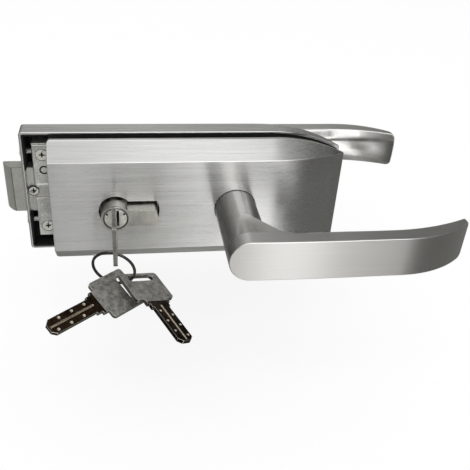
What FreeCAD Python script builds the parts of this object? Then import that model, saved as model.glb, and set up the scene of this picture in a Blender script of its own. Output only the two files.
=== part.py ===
import FreeCAD, Part
import math
import os

# Glass door lock with a lever on each side, a latch bolt and a euro profile cylinder with its keys.
# Frame in mm: X runs along the lock, the latch points to -X and the levers to +X, Z is up.
# Y runs through the glass: the front is -Y. Y = 0 is the rear lining's face that lies on the glass.
# The cylinder axis and the spindle axis lie in the plane Z = 0, at equal distances from X = 0.

# Main layout
AXIS_SPACING = 72.0
CYL_X = -AXIS_SPACING / 2
SPINDLE_X = AXIS_SPACING / 2
MID_Z = 2.2
GLASS_GAP = 8.2

# Covers
COVER_H = 79.4
COVER_TIP_X = 103.3
COVER_WALL = 1.5
CREASE_H = 59.1
BEVEL_H = (COVER_H - CREASE_H) / 2
BEVEL_D = 9.15
TIP_DEPTH = 1.7
TIP_DROP = 10.3
DROP_START_X = 60.0
FRONT_LEFT_X = -73.2
FRONT_DEPTH = 11.7
FRONT_BEND_X = 55.4
REAR_LEFT_X = -89.7
REAR_DEPTH = 21.4
REAR_BEND_X = 48.0
END_CORNER_R = 2.0

# Gaps
SEAT = 0.1
RUN = 0.3
BEARING = 0.05
MARGIN = 1.0

# Linings and front mounting plate
REAR_LINING_T = 3.0
REAR_LINING_LEFT_X = -73.0
FRONT_LINING_T = 1.5
FRONT_PLATE_T = 3.0
PLATE_RIGHT_X = 54.0
EDGE_LINER_T = 0.8

# Lock case
CASE_LEFT_X = -83.8
CASE_RIGHT_X = 54.0
CASE_H = 63.4
CASE_WALL = 2.0
LID_T = 1.6
LID_Y = REAR_LINING_T

# Latch
LATCH_TIP_X = -102.4
LATCH_BACK_X = -60.0
LATCH_H = 30.0
LATCH_T = 9.0
LATCH_Y = LID_Y + LID_T + RUN
BEVEL_RUN = 5.6
NOSE_X = 2.0
NOSE_Y = 3.8
WEB_BOTTOM_Z = 11.0
TAIL_BOTTOM_Z = 19.0
TAIL_TOP_Z = 22.8
TAIL_Y0 = 6.0
TAIL_Y1 = 11.0
TAIL_LUG_W = 5.0
WEB_L = 8.0
LUG_BOTTOM_Z = 12.8
FOOT_W = 4.0
FOOT_BOTTOM_Z = -19.1
GUIDE_X = -85.0
GUIDE_Z = 1.8
GUIDE_HEAD_R = 2.9
GUIDE_RECESS_R = 3.5
GUIDE_SHANK_R = 1.5
GUIDE_HEAD_T = 1.2
SLOT_H = 9.0

# Euro profile cylinder
PROFILE_R = 8.5
PROFILE_LEG_W = 10.0
PROFILE_LEG_REACH = 24.5
CYL_FRONT_Y = -28.5
CYL_REAR_Y = 30.5
CAM_MID_Y = 11.0
CAM_SLOT_W = 10.0
CAM_GAP = 0.4
CAM_R = 13.0
CAM_W = 6.4
CAM_HUB_R = 7.0
CAM_REST_DEG = -45.0
PLUG_R = 6.5
KEYWAY_H = 10.4
KEYWAY_W = 4.0
CUTOUT_GAP = 1.4
CYL_SCREW_X = 18.5
CYL_SCREW_R = 2.5
RING_T = 1.0

# Keys and key ring
KEY_T = 2.4
BOW_W = 25.7
BOW_L = 23.0
BOW_CORNER_R = 2.0
SLOT_HALF_L = 8.6
SLOT_W = 4.8
SLOT_FROM_END = 4.4
COLLAR_W = 15.4
COLLAR_L = 3.4
STEP_W = 12.2
STEP_L = 3.2
BLADE_W = 9.8
BLADE_L = 27.8
TIP_CUT = 2.4
KEY_STOP_Y = CYL_FRONT_Y - 1.6
KEY_SIDE = -0.6
RING_R = 12.2
RING_WIRE_R = 0.78
RING_EDGE = 0.42

# Where the hanging ring and the two loose keys lie, read from the photograph
RING_TILT_DEG = 10.5
RING_YAW_DEG = 16.7
RING_TOP_ANGLE = -80.6
RING_DROP = 0.5
RING_ASIDE = 0.8
KEY_2_ANGLE = 68.4
KEY_2_SHIFT = -3.93
KEY_2_ASIDE = 0.42
KEY_2_ALONG = (-0.777, -0.630, 0.0)
KEY_2_ACROSS = (0.578, -0.717, -0.390)
KEY_3_ANGLE = 40.0
KEY_3_SHIFT = -6.1
KEY_3_ASIDE = 0.4
KEY_3_ALONG = (0.434, -0.890, -0.144)
KEY_3_ACROSS = (0.828, 0.456, -0.326)

# Lever handle
NECK_R = 12.5
LEVER_REACH = 58.6
BAR_T = 9.4
BAR_BULGE = 3.4
BAR_END_BULGE = 1.7
BAR_SECTIONS = 5
FILLET_R = 16.0
WEB_RISE = 23.0
WEB_SLOPE_DEG = 51.0
BAR_BEND_X = 124.5
BAR_BEND_R = 62.4
BAR_INNER_BEND_X = 116.5
BAR_INNER_BEND_R = 119.5
BAR_END_X = 167.0
BAR_CORNER_R = 3.2
BAR_WEB_X = SPINDLE_X + 1.2
NECK_GAP = 0.4
JOURNAL_R = 9.0
BUSH_R = 12.0
SPINDLE_W = 8.0
SPINDLE_FIT = 0.15
SPINDLE_IN = 34.0
GRUB_R = 2.5
GRUB_L = 7.0
GRUB_FROM_FACE = 12.0

# Follower
HUB_R = 10.0
HUB_JOURNAL_R = 8.0
FOLLOWER_Y0 = 5.4
FOLLOWER_Y1 = 11.8
ARM_R = 16.0
ARM_TIP_R = 2.5
ARM_W = 3.0
ARM_LEAN_DEG = 23.0
SPRING_ARM_R = 17.0

# Springs
SPRING_R = 2.5
SPRING_WIRE_R = 0.45
LATCH_SPRING_END_X = -31.0
SPRING_RISE = 12.9
SPRING_Y = 8.2
POST_W = 4.0
ROD_R = 1.5
RETURN_SPRING_X = 9.0
RETURN_SPRING_Z = -SPRING_ARM_R

# Deadlocking slide
SLIDE_Y0 = 12.4
SLIDE_Y1 = 16.4
SLIDE_TOP_Z = -9.6
SLIDE_BOTTOM_Z = -19.4
SLIDE_RIGHT_X = -20.4

# Fasteners
BOLT_X = (-60.0, 48.0)
BOLT_INSET = 5.2
BOLT_Z = (MID_Z - CASE_H / 2 + BOLT_INSET, MID_Z + CASE_H / 2 - BOLT_INSET)
BOLT_R = 2.5
BOLT_HEAD_R = 4.4
BOLT_HEAD_T = 1.6
BOLT_KEY_W = 4.0
BOLT_KEY_D = 1.2
SLEEVE_R = 5.0
BOSS_R = 4.8
LID_TOP_INSET = 7.7
LID_BOTTOM_INSET = 6.7
LID_INNER_INSET = 5.7
LID_RIGHT_RISE = 15.5
LID_SCREW_R = 1.5
LID_SCREW_HEAD_R = 3.6
LID_SCREW_HEAD_T = 1.3
LID_SCREW_L = 9.0
END_SCREW_INSET = 8.1
END_SCREW_Z = (MID_Z - CASE_H / 2 + END_SCREW_INSET, MID_Z + CASE_H / 2 - END_SCREW_INSET)
END_SCREW_Y = 10.0
END_SCREW_R = 1.5
END_SCREW_HEAD_R = 2.9
END_SCREW_IN = 2.0
COVER_SCREW_X = (-50.0, 40.0)
COVER_SCREW_R = 1.5
HIDDEN_SIDES = 8
CROSS_W = 0.9
CROSS_L = 3.2
CROSS_D = 0.8

X_AXIS = FreeCAD.Vector(1, 0, 0)
Y_AXIS = FreeCAD.Vector(0, 1, 0)
Z_AXIS = FreeCAD.Vector(0, 0, 1)
FRONT_BASE_Y = -GLASS_GAP
FRONT_FACE_Y = FRONT_BASE_Y - FRONT_DEPTH
CASE_BACK_Y = REAR_DEPTH - COVER_WALL
CASE_TOP_Z = MID_Z + CASE_H / 2
CASE_BOTTOM_Z = MID_Z - CASE_H / 2
SPRING_Z = CASE_BOTTOM_Z + SPRING_RISE
LID_SCREW_AT = (
    (-78.0, CASE_TOP_Z - LID_TOP_INSET),
    (-78.4, CASE_BOTTOM_Z + LID_BOTTOM_INSET),
    (20.0, CASE_TOP_Z - LID_INNER_INSET),
    (49.0, CASE_BOTTOM_Z + LID_RIGHT_RISE),
)
LATCH_TOP_Z = MID_Z + LATCH_H / 2
LATCH_BOTTOM_Z = MID_Z - LATCH_H / 2

PLATE_Y1 = FRONT_BASE_Y - FRONT_LINING_T
PLATE_Y0 = PLATE_Y1 - FRONT_PLATE_T
FRONT_SCREW_Y = PLATE_Y1 - FRONT_PLATE_T / 2
CASE_FLOOR_Y = CASE_BACK_Y - CASE_WALL
CAM_Y0 = CAM_MID_Y - CAM_SLOT_W / 2
CAM_Y1 = CAM_MID_Y + CAM_SLOT_W / 2
CAM_SWING = CAM_R * math.sin(math.radians(-CAM_REST_DEG))
SLIDE_REST_X = CYL_X + CAM_SWING
SLIDE_TRAVEL = 2 * CAM_SWING
SLIDE_LEFT_X = LATCH_BACK_X + RUN + SEAT + SLIDE_TRAVEL
ARM_SWING = ARM_R * math.sin(math.radians(ARM_LEAN_DEG))
LATCH_TRAVEL = 2 * ARM_SWING
LUG_X = SPINDLE_X - ARM_SWING + ARM_TIP_R + RUN + SEAT
LEVER_FACE_Y = FRONT_FACE_Y - LEVER_REACH
BAR_BACK_Y = LEVER_FACE_Y + BAR_T
MIRROR_Y = (FRONT_FACE_Y + REAR_DEPTH) / 2
REAR_JOURNAL_Y = CASE_FLOOR_Y + SEAT
KEY_1_SLOT_Y = KEY_STOP_Y - STEP_L - COLLAR_L - BOW_L + SLOT_FROM_END
RING_TOP_Z = -SLOT_HALF_L + SLOT_W / 2 - RING_DROP


def v(x, y, z):
    return FreeCAD.Vector(x, y, z)


def box(x0, x1, y0, y1, z0, z1):
    return Part.makeBox(x1 - x0, y1 - y0, z1 - z0, v(x0, y0, z0))


def rod(radius, start, direction, length):
    return Part.makeCylinder(radius, length, start, direction)


def rod_y(radius, x, z, y0, y1):
    return rod(radius, v(x, y0, z), Y_AXIS, y1 - y0)


# Hidden shanks, their holes and the case's bosses have flats in place of a round wall
def hidden_rod(radius, start, direction, length):
    aside = X_AXIS if direction == Z_AXIS else Z_AXIS
    across = direction.cross(aside)
    corners = []
    for i in range(HIDDEN_SIDES):
        turn = 2 * math.pi * (i + 0.5) / HIDDEN_SIDES
        reach = radius / math.cos(math.pi / HIDDEN_SIDES)
        corners.append(start + aside * (reach * math.cos(turn)) + across * (reach * math.sin(turn)))
    return polygon(corners).extrude(direction * length)


def hidden_rod_y(radius, x, z, y0, y1):
    return hidden_rod(radius, v(x, y0, z), Y_AXIS, y1 - y0)


def fuse(shapes):
    whole = shapes[0]
    if len(shapes) > 1:
        whole = whole.fuse(shapes[1:])
    return whole.removeSplitter()


def cut(shape, tools):
    return shape.cut(tools)


def face_of(edges):
    return Part.Face(Part.Wire(Part.__sortEdges__(edges)))


def polygon(points):
    return Part.Face(Part.makePolygon(points + [points[0]]))


def arc(start, middle, end):
    return Part.Arc(start, middle, end).toShape()


def line(start, end):
    return Part.LineSegment(start, end).toShape()


# A cover is a slab whose face bends back to the glass near the tip, seen from above, with a slanted
# band along its top and bottom edge. The whole is trimmed to its outline, seen from the front.
def bend_drop(x, bend_x, radius):
    return radius - math.sqrt(radius * radius - (x - bend_x) ** 2)


def bend_radius(bend_x, depth):
    run = COVER_TIP_X - bend_x
    drop = depth - TIP_DEPTH
    return (run * run + drop * drop) / (2 * drop)


def plan_face(left_x, bend_x, depth, inset, side, base_y, z):
    radius = bend_radius(bend_x, depth) - inset
    top = depth - inset
    if inset:
        end_x = bend_x + math.sqrt(radius ** 2 - (radius - top + inset / 2) ** 2)
        end_depth = inset / 2
    else:
        end_x = COVER_TIP_X
        end_depth = TIP_DEPTH
    mid_x = (bend_x + end_x) / 2
    mid_depth = top - bend_drop(mid_x, bend_x, radius)

    def at(x, d):
        return v(x, base_y + side * d, z)

    left = left_x + inset
    start = at(left, 0)
    return face_of([
        line(start, at(left, top)),
        line(at(left, top), at(bend_x, top)),
        arc(at(bend_x, top), at(mid_x, mid_depth), at(end_x, end_depth)),
        line(at(end_x, end_depth), at(end_x, 0)),
        line(at(end_x, 0), start),
    ])


def outline_prism(left_x, inset, y0, y1, corner):
    half = COVER_H / 2 - inset
    tip_half = half - TIP_DROP
    tip_x = COVER_TIP_X - inset
    run = tip_x - DROP_START_X
    radius = (run * run + TIP_DROP ** 2) / (2 * TIP_DROP)
    mid_x = DROP_START_X + run / 2
    mid_half = half - bend_drop(mid_x, DROP_START_X, radius)
    left = left_x + inset

    def at(x, z):
        return v(x, y0, MID_Z + z)

    shape = face_of([
        line(at(left, -half), at(left, half)),
        line(at(left, half), at(DROP_START_X, half)),
        arc(at(DROP_START_X, half), at(mid_x, mid_half), at(tip_x, tip_half)),
        line(at(tip_x, tip_half), at(tip_x, -tip_half)),
        arc(at(tip_x, -tip_half), at(mid_x, -mid_half), at(DROP_START_X, -half)),
        line(at(DROP_START_X, -half), at(left, -half)),
    ]).extrude(v(0, y1 - y0, 0))
    if not corner:
        return shape
    edges = []
    for edge in shape.Edges:
        box_of = edge.BoundBox
        if box_of.XLength < SEAT and box_of.ZLength < SEAT and abs(box_of.XMin - left) < SEAT:
            edges.append(edge)
    return shape.makeFillet(corner, edges)


def cover_slab(left_x, bend_x, depth, inset, side, base_y):
    half = COVER_H / 2 - inset
    bevel_length = math.hypot(BEVEL_H, BEVEL_D)
    crease_half = CREASE_H / 2 - inset * (bevel_length - BEVEL_H) / BEVEL_D
    rise = half - crease_half
    run = rise * BEVEL_D / BEVEL_H
    slab = plan_face(left_x, bend_x, depth, inset, side, base_y, MID_Z - crease_half)
    parts = [slab.extrude(v(0, 0, 2 * crease_half))]
    for way in (1, -1):
        band = plan_face(left_x, bend_x, depth, inset, side, base_y, MID_Z + way * crease_half)
        parts.append(band.extrude(v(0, -side * run, way * rise)))
    y0, y1 = sorted((base_y, base_y + side * depth))
    corner = max(END_CORNER_R - inset, 0)
    return fuse(parts).common(outline_prism(left_x, inset, y0, y1, corner)).removeSplitter()


def cover_shell(left_x, bend_x, depth, side, base_y):
    outer = cover_slab(left_x, bend_x, depth, 0.0, side, base_y)
    inner = cover_slab(left_x, bend_x, depth, COVER_WALL, side, base_y)
    return outer.cut(inner)


# The euro profile lies on its side: the barrel at the left and its leg to the right.
def profile_prism(gap, y0, y1):
    barrel = rod_y(PROFILE_R + gap, CYL_X, 0, y0, y1)
    half = PROFILE_LEG_W / 2 + gap
    reach = CYL_X + PROFILE_LEG_REACH + gap
    flat = math.sqrt(PROFILE_R ** 2 - (PROFILE_LEG_W / 2) ** 2)
    end_x = reach - (PROFILE_R - flat)
    leg = face_of([
        line(v(CYL_X, y0, -half), v(end_x, y0, -half)),
        arc(v(end_x, y0, -half), v(reach, y0, 0), v(end_x, y0, half)),
        line(v(end_x, y0, half), v(CYL_X, y0, half)),
        line(v(CYL_X, y0, half), v(CYL_X, y0, -half)),
    ]).extrude(v(0, y1 - y0, 0))
    return fuse([barrel, leg])


def cross_recess(x, y, z, direction):
    bars = []
    for width, height in ((CROSS_L, CROSS_W), (CROSS_W, CROSS_L)):
        if direction == "y":
            bars.append(box(x - width / 2, x + width / 2, y, y + CROSS_D, z - height / 2, z + height / 2))
        else:
            bars.append(box(x, x + CROSS_D, y - width / 2, y + width / 2, z - height / 2, z + height / 2))
    return fuse(bars)


# Both springs are closed in, so each is the plain sleeve that its coil fills.
def spring(x0, x1, z):
    sleeve = rod(SPRING_R, v(x0, SPRING_Y, z), X_AXIS, x1 - x0)
    return sleeve.cut(rod(SPRING_R - 2 * SPRING_WIRE_R, v(x0, SPRING_Y, z), X_AXIS, x1 - x0))


def hex_socket(width, x, z, y0, y1):
    radius = width / math.sqrt(3)
    corners = []
    for i in range(6):
        turn = math.radians(60 * i)
        corners.append(v(x + radius * math.cos(turn), y0, z + radius * math.sin(turn)))
    return polygon(corners).extrude(v(0, y1 - y0, 0))


def make_front_cover():
    shell = cover_shell(FRONT_LEFT_X, FRONT_BEND_X, FRONT_DEPTH, -1, FRONT_BASE_Y)
    far = FRONT_FACE_Y - MARGIN
    tools = [
        profile_prism(CUTOUT_GAP, far, FRONT_BASE_Y),
        rod_y(BUSH_R, SPINDLE_X, 0, far, FRONT_BASE_Y),
    ]
    for x in COVER_SCREW_X:
        tools.append(rod(COVER_SCREW_R, v(x, FRONT_SCREW_Y, MID_Z - COVER_H), Z_AXIS, COVER_H))
    return cut(shell, tools)


def make_rear_cover():
    shell = cover_shell(REAR_LEFT_X, REAR_BEND_X, REAR_DEPTH, 1, 0)
    far = REAR_DEPTH + MARGIN
    tools = [
        profile_prism(CUTOUT_GAP, 0, far),
        rod_y(BUSH_R, SPINDLE_X, 0, 0, far),
        box(REAR_LEFT_X - MARGIN, REAR_LEFT_X + COVER_WALL + MARGIN,
            LATCH_Y - RUN, LATCH_Y + LATCH_T + RUN, LATCH_BOTTOM_Z - RUN, LATCH_TOP_Z + RUN),
    ]
    for z in END_SCREW_Z:
        start = v(REAR_LEFT_X - MARGIN, END_SCREW_Y, z)
        tools.append(hidden_rod(END_SCREW_R, start, X_AXIS, 2 * MARGIN + COVER_WALL))
    below = v(CYL_X + CYL_SCREW_X, CAM_MID_Y, MID_Z - COVER_H)
    tools.append(rod(CYL_SCREW_R + RUN, below, Z_AXIS, COVER_H / 2 + BEVEL_H))
    return cut(shell, tools)


def inner_outline(left_x, y0, y1):
    return outline_prism(left_x, COVER_WALL + SEAT, y0, y1, 0)


def bolt_holes(radius, y0, y1):
    return [hidden_rod_y(radius, x, z, y0, y1) for x in BOLT_X for z in BOLT_Z]


def make_rear_lining():
    y1 = REAR_LINING_T
    sheet = inner_outline(REAR_LEFT_X, 0, y1).common(
        cover_slab(REAR_LEFT_X, REAR_BEND_X, REAR_DEPTH, COVER_WALL + SEAT, 1, 0))
    tools = [
        box(REAR_LEFT_X, REAR_LINING_LEFT_X, -MARGIN, y1 + MARGIN, -COVER_H, COVER_H),
        profile_prism(CUTOUT_GAP, -MARGIN, y1 + MARGIN),
        rod_y(HUB_R, SPINDLE_X, 0, -MARGIN, y1 + MARGIN),
    ]
    tools += bolt_holes(SLEEVE_R + SEAT, -MARGIN, y1 + MARGIN)
    return cut(sheet, tools)


def make_front_lining():
    y0 = FRONT_BASE_Y - FRONT_LINING_T
    sheet = inner_outline(FRONT_LEFT_X, y0, FRONT_BASE_Y).common(
        cover_slab(FRONT_LEFT_X, FRONT_BEND_X, FRONT_DEPTH, COVER_WALL + SEAT, -1, FRONT_BASE_Y))
    tools = [
        profile_prism(CUTOUT_GAP, y0 - MARGIN, FRONT_BASE_Y + MARGIN),
        rod_y(HUB_R, SPINDLE_X, 0, y0 - MARGIN, FRONT_BASE_Y + MARGIN),
    ]
    tools += bolt_holes(SLEEVE_R + SEAT, y0 - MARGIN, FRONT_BASE_Y + MARGIN)
    return cut(sheet, tools)


def make_front_plate():
    half = COVER_H / 2 - BEVEL_H / 2 - COVER_WALL
    left = FRONT_LEFT_X + COVER_WALL + SEAT
    plate = box(left, PLATE_RIGHT_X, PLATE_Y0, PLATE_Y1, MID_Z - half, MID_Z + half)
    inside = cover_slab(FRONT_LEFT_X, FRONT_BEND_X, FRONT_DEPTH, COVER_WALL + SEAT, -1, FRONT_BASE_Y)
    tools = [
        profile_prism(RUN, PLATE_Y0 - MARGIN, PLATE_Y1 + MARGIN),
        rod_y(HUB_JOURNAL_R, SPINDLE_X, 0, PLATE_Y0 - MARGIN, PLATE_Y1 + MARGIN),
    ]
    tools += bolt_holes(BOLT_R, PLATE_Y0 - MARGIN, PLATE_Y1 + MARGIN)
    return cut(plate.common(inside), tools)


def make_edge_liner():
    inset = COVER_WALL
    outer = cover_slab(REAR_LEFT_X, REAR_BEND_X, REAR_DEPTH, inset, 1, 0)
    inner = cover_slab(REAR_LEFT_X, REAR_BEND_X, REAR_DEPTH, inset + EDGE_LINER_T, 1, 0)
    skin = outer.cut(inner)
    skin = skin.common(box(REAR_LEFT_X, REAR_LINING_LEFT_X - SEAT, 0, REAR_DEPTH, -COVER_H, COVER_H))
    tools = [
        box(CASE_LEFT_X, COVER_TIP_X, 0, REAR_DEPTH, CASE_BOTTOM_Z - RUN, CASE_TOP_Z + RUN),
        box(REAR_LEFT_X, CASE_LEFT_X, -MARGIN, LATCH_Y + LATCH_T + RUN,
            LATCH_BOTTOM_Z - RUN, LATCH_TOP_Z + RUN),
    ]
    for z in END_SCREW_Z:
        tools.append(hidden_rod(END_SCREW_R + SEAT, v(REAR_LEFT_X, END_SCREW_Y, z), X_AXIS, COVER_WALL * 3))
    return cut(skin, tools)


def make_lock_case():
    y0 = LID_Y + LID_T
    block = box(CASE_LEFT_X, CASE_RIGHT_X, y0, CASE_BACK_Y, CASE_BOTTOM_Z, CASE_TOP_Z)
    inside = cover_slab(REAR_LEFT_X, REAR_BEND_X, REAR_DEPTH, COVER_WALL, 1, 0)
    block = block.common(inside)
    hollow = box(CASE_LEFT_X + CASE_WALL, CASE_RIGHT_X - CASE_WALL, y0 - MARGIN, CASE_FLOOR_Y,
                 CASE_BOTTOM_Z + CASE_WALL, CASE_TOP_Z - CASE_WALL)
    shell = block.cut(hollow)
    posts = [hidden_rod_y(BOSS_R, x, z, y0, CASE_FLOOR_Y) for x in BOLT_X for z in BOLT_Z]
    posts += [hidden_rod_y(LID_SCREW_HEAD_R, x, z, y0, CASE_FLOOR_Y) for x, z in LID_SCREW_AT]
    floor_y = CASE_FLOOR_Y
    posts.append(box(LATCH_SPRING_END_X, LATCH_SPRING_END_X + POST_W,
                     SPRING_Y - SPRING_R, SPRING_Y + SPRING_R + RUN, CASE_BOTTOM_Z, SPRING_Z + SPRING_R))
    posts.append(box(RETURN_SPRING_X - POST_W, RETURN_SPRING_X, SPRING_Y - SPRING_R, floor_y,
                     CASE_BOTTOM_Z, RETURN_SPRING_Z + SPRING_R))
    posts.append(box(LATCH_SPRING_END_X, LATCH_SPRING_END_X + POST_W, SPRING_Y, floor_y,
                     CASE_BOTTOM_Z, SLIDE_BOTTOM_Z - RUN))
    shell = fuse([shell] + posts).common(block)
    far = CASE_BACK_Y + MARGIN
    tools = [
        profile_prism(RUN, 0, far),
        rod_y(BUSH_R, SPINDLE_X, 0, floor_y - MARGIN, far),
        box(CASE_LEFT_X - MARGIN, CASE_LEFT_X + CASE_WALL + MARGIN, y0 - MARGIN, LATCH_Y + LATCH_T + RUN,
            LATCH_BOTTOM_Z - RUN, LATCH_TOP_Z + RUN),
        hidden_rod(CYL_SCREW_R, v(CYL_X + CYL_SCREW_X, CAM_MID_Y, CASE_BOTTOM_Z - MARGIN), Z_AXIS,
                   CASE_WALL + 2 * MARGIN),
    ]
    tools += bolt_holes(BOLT_R, y0 - MARGIN, floor_y)
    tools += [hidden_rod_y(LID_SCREW_R, x, z, y0 - MARGIN, LID_Y + LID_SCREW_L) for x, z in LID_SCREW_AT]
    for z in END_SCREW_Z:
        start = v(CASE_LEFT_X - MARGIN, END_SCREW_Y, z)
        tools.append(hidden_rod(END_SCREW_R, start, X_AXIS, END_SCREW_IN + MARGIN))
    return cut(shell, tools)


def make_case_lid():
    y1 = LID_Y + LID_T
    lid = box(CASE_LEFT_X, CASE_RIGHT_X, LID_Y, y1, CASE_BOTTOM_Z, CASE_TOP_Z)
    inside = cover_slab(REAR_LEFT_X, REAR_BEND_X, REAR_DEPTH, COVER_WALL, 1, 0)
    slot_end = GUIDE_X + LATCH_TRAVEL + GUIDE_RECESS_R
    tools = [
        box(CASE_LEFT_X - MARGIN, slot_end - SLOT_H / 2 + MARGIN, LID_Y - MARGIN, y1 + MARGIN,
            GUIDE_Z - SLOT_H / 2, GUIDE_Z + SLOT_H / 2),
        rod_y(SLOT_H / 2, slot_end - SLOT_H / 2 + MARGIN, GUIDE_Z, LID_Y - MARGIN, y1 + MARGIN),
        profile_prism(RUN, 0, y1 + MARGIN),
        rod_y(HUB_JOURNAL_R + BEARING, SPINDLE_X, 0, LID_Y - MARGIN, y1 + MARGIN),
    ]
    tools += bolt_holes(SLEEVE_R + SEAT, LID_Y - MARGIN, y1 + MARGIN)
    for x, z in LID_SCREW_AT:
        tools.append(hidden_rod_y(LID_SCREW_R, x, z, LID_Y, y1 + MARGIN))
        tools.append(lid_screw_head(x, z))
    return cut(lid.common(inside), tools)


def lid_screw_head(x, z):
    return Part.makeCone(LID_SCREW_HEAD_R, LID_SCREW_R, LID_SCREW_HEAD_T, v(x, LID_Y, z), Y_AXIS)


def make_lid_screws():
    screws = []
    for x, z in LID_SCREW_AT:
        shank = hidden_rod_y(LID_SCREW_R, x, z, LID_Y + LID_SCREW_HEAD_T, LID_Y + LID_SCREW_L)
        screw = fuse([lid_screw_head(x, z), shank])
        screws.append(screw.cut(cross_recess(x, LID_Y, z, "y")))
    return Part.makeCompound(screws)


def make_end_screws():
    screws = []
    for z in END_SCREW_Z:
        head = rod(END_SCREW_HEAD_R, v(REAR_LEFT_X - COVER_WALL, END_SCREW_Y, z), X_AXIS, COVER_WALL)
        length = CASE_LEFT_X + END_SCREW_IN - REAR_LEFT_X
        shank = hidden_rod(END_SCREW_R, v(REAR_LEFT_X, END_SCREW_Y, z), X_AXIS, length)
        screw = fuse([head, shank])
        screws.append(screw.cut(cross_recess(REAR_LEFT_X - COVER_WALL, END_SCREW_Y, z, "x")))
    return Part.makeCompound(screws)


def make_clamp_bolts():
    bolts = []
    for x in BOLT_X:
        for z in BOLT_Z:
            head = hidden_rod_y(BOLT_HEAD_R, x, z, PLATE_Y0 - BOLT_HEAD_T, PLATE_Y0)
            shank = hidden_rod_y(BOLT_R, x, z, PLATE_Y0, CASE_FLOOR_Y - MARGIN)
            top = PLATE_Y0 - BOLT_HEAD_T
            socket = hex_socket(BOLT_KEY_W, x, z, top, top + BOLT_KEY_D)
            bolts.append(fuse([head, shank]).cut(socket))
    return Part.makeCompound(bolts)


def make_clamp_sleeves():
    sleeves = []
    for x in BOLT_X:
        for z in BOLT_Z:
            tube = rod_y(SLEEVE_R, x, z, PLATE_Y1, LID_Y + LID_T)
            sleeves.append(tube.cut(hidden_rod_y(BOLT_R, x, z, PLATE_Y1 - MARGIN, LID_Y + LID_T + MARGIN)))
    return Part.makeCompound(sleeves)


def make_cylinder_body():
    body = profile_prism(0, CYL_FRONT_Y, CYL_REAR_Y)
    tools = [
        rod_y(PLUG_R + BEARING, CYL_X, 0, CYL_FRONT_Y - MARGIN, CAM_Y0),
        rod_y(PLUG_R, CYL_X, 0, CAM_Y1, CYL_REAR_Y + MARGIN),
        rod_y(CAM_R + CAM_GAP, CYL_X, 0, CAM_Y0, CAM_Y1),
        hidden_rod(CYL_SCREW_R, v(CYL_X + CYL_SCREW_X, CAM_MID_Y, -PROFILE_R), Z_AXIS, 2 * PROFILE_R),
    ]
    return cut(body, tools)


def make_cylinder_screw():
    x = CYL_X + CYL_SCREW_X
    bottom = CASE_BOTTOM_Z
    shank = hidden_rod(CYL_SCREW_R, v(x, CAM_MID_Y, bottom), Z_AXIS, PROFILE_LEG_W / 2 - bottom)
    slot = box(x - CYL_SCREW_R, x + CYL_SCREW_R, CAM_MID_Y - CROSS_W / 2, CAM_MID_Y + CROSS_W / 2,
               bottom, bottom + CROSS_D)
    return shank.cut(slot)


def keyway(y0, y1):
    return box(CYL_X - KEYWAY_W / 2, CYL_X + KEYWAY_W / 2, y0, y1, -KEYWAY_H / 2, KEYWAY_H / 2)


def make_front_plug():
    plug = rod_y(PLUG_R, CYL_X, 0, CYL_FRONT_Y, CAM_Y0 - RING_T)
    tail = rod_y(CAM_HUB_R - MARGIN - RING_T, CYL_X, 0, CAM_Y0 - RING_T, CAM_Y0 + CAM_GAP)
    return fuse([plug, tail]).cut(keyway(CYL_FRONT_Y - MARGIN, KEY_STOP_Y + BLADE_L + MARGIN))


def make_rear_plug():
    plug = rod_y(PLUG_R, CYL_X, 0, CAM_Y1 + RUN, CYL_REAR_Y)
    return plug.cut(keyway(CAM_Y1 + MARGIN, CYL_REAR_Y + MARGIN))


def make_plug_ring():
    ring = rod_y(PLUG_R, CYL_X, 0, CAM_Y0 - RING_T, CAM_Y0)
    return ring.cut(rod_y(CAM_HUB_R - MARGIN - RING_T, CYL_X, 0, CAM_Y0 - RING_T, CAM_Y0))


def make_cam():
    y0 = CAM_Y0 + CAM_GAP
    y1 = CAM_Y1 - CAM_GAP
    hub = rod_y(CAM_HUB_R, CYL_X, 0, y0, y1)
    tip = rod_y(CAM_W / 2, CYL_X, CAM_W / 2 - CAM_R, y0, y1)
    arm = box(CYL_X - CAM_W / 2, CYL_X + CAM_W / 2, y0, y1, CAM_W / 2 - CAM_R, 0)
    cam = fuse([hub, tip, arm])
    cam.rotate(v(CYL_X, 0, 0), Y_AXIS, CAM_REST_DEG)
    return cam


# A key lies flat in its own plane first: its length along +X with the bow's end at the left,
# its width along Y and the middle of the bow's slot at the origin.
def flat_key():
    x0 = -SLOT_FROM_END
    x1 = x0 + BOW_L
    bow = Part.makeBox(BOW_L, BOW_W, KEY_T, v(x0, -BOW_W / 2, -KEY_T / 2))
    upright = []
    for edge in bow.Edges:
        if edge.BoundBox.ZLength > KEY_T / 2:
            upright.append(edge)
    bow = bow.makeFillet(BOW_CORNER_R, upright)
    collar = Part.makeBox(COLLAR_L, COLLAR_W, KEY_T, v(x1, -COLLAR_W / 2, -KEY_T / 2))
    step = Part.makeBox(STEP_L, STEP_W, KEY_T, v(x1 + COLLAR_L, -STEP_W / 2, -KEY_T / 2))
    x2 = x1 + COLLAR_L + STEP_L
    half = BLADE_W / 2
    end = x2 + BLADE_L
    blade = polygon([
        v(x2, -half, -KEY_T / 2), v(end - TIP_CUT, -half, -KEY_T / 2), v(end, -half + TIP_CUT, -KEY_T / 2),
        v(end, half - TIP_CUT, -KEY_T / 2), v(end - TIP_CUT, half, -KEY_T / 2), v(x2, half, -KEY_T / 2),
    ]).extrude(v(0, 0, KEY_T))
    half_l = SLOT_HALF_L - SLOT_W / 2
    slot = [Part.makeBox(SLOT_W, 2 * half_l, 2 * KEY_T, v(-SLOT_W / 2, -half_l, -KEY_T))]
    for y in (-half_l, half_l):
        slot.append(Part.makeCylinder(SLOT_W / 2, 2 * KEY_T, v(0, y, -KEY_T)))
    return fuse([bow, collar, step, blade]).cut(fuse(slot))


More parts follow.
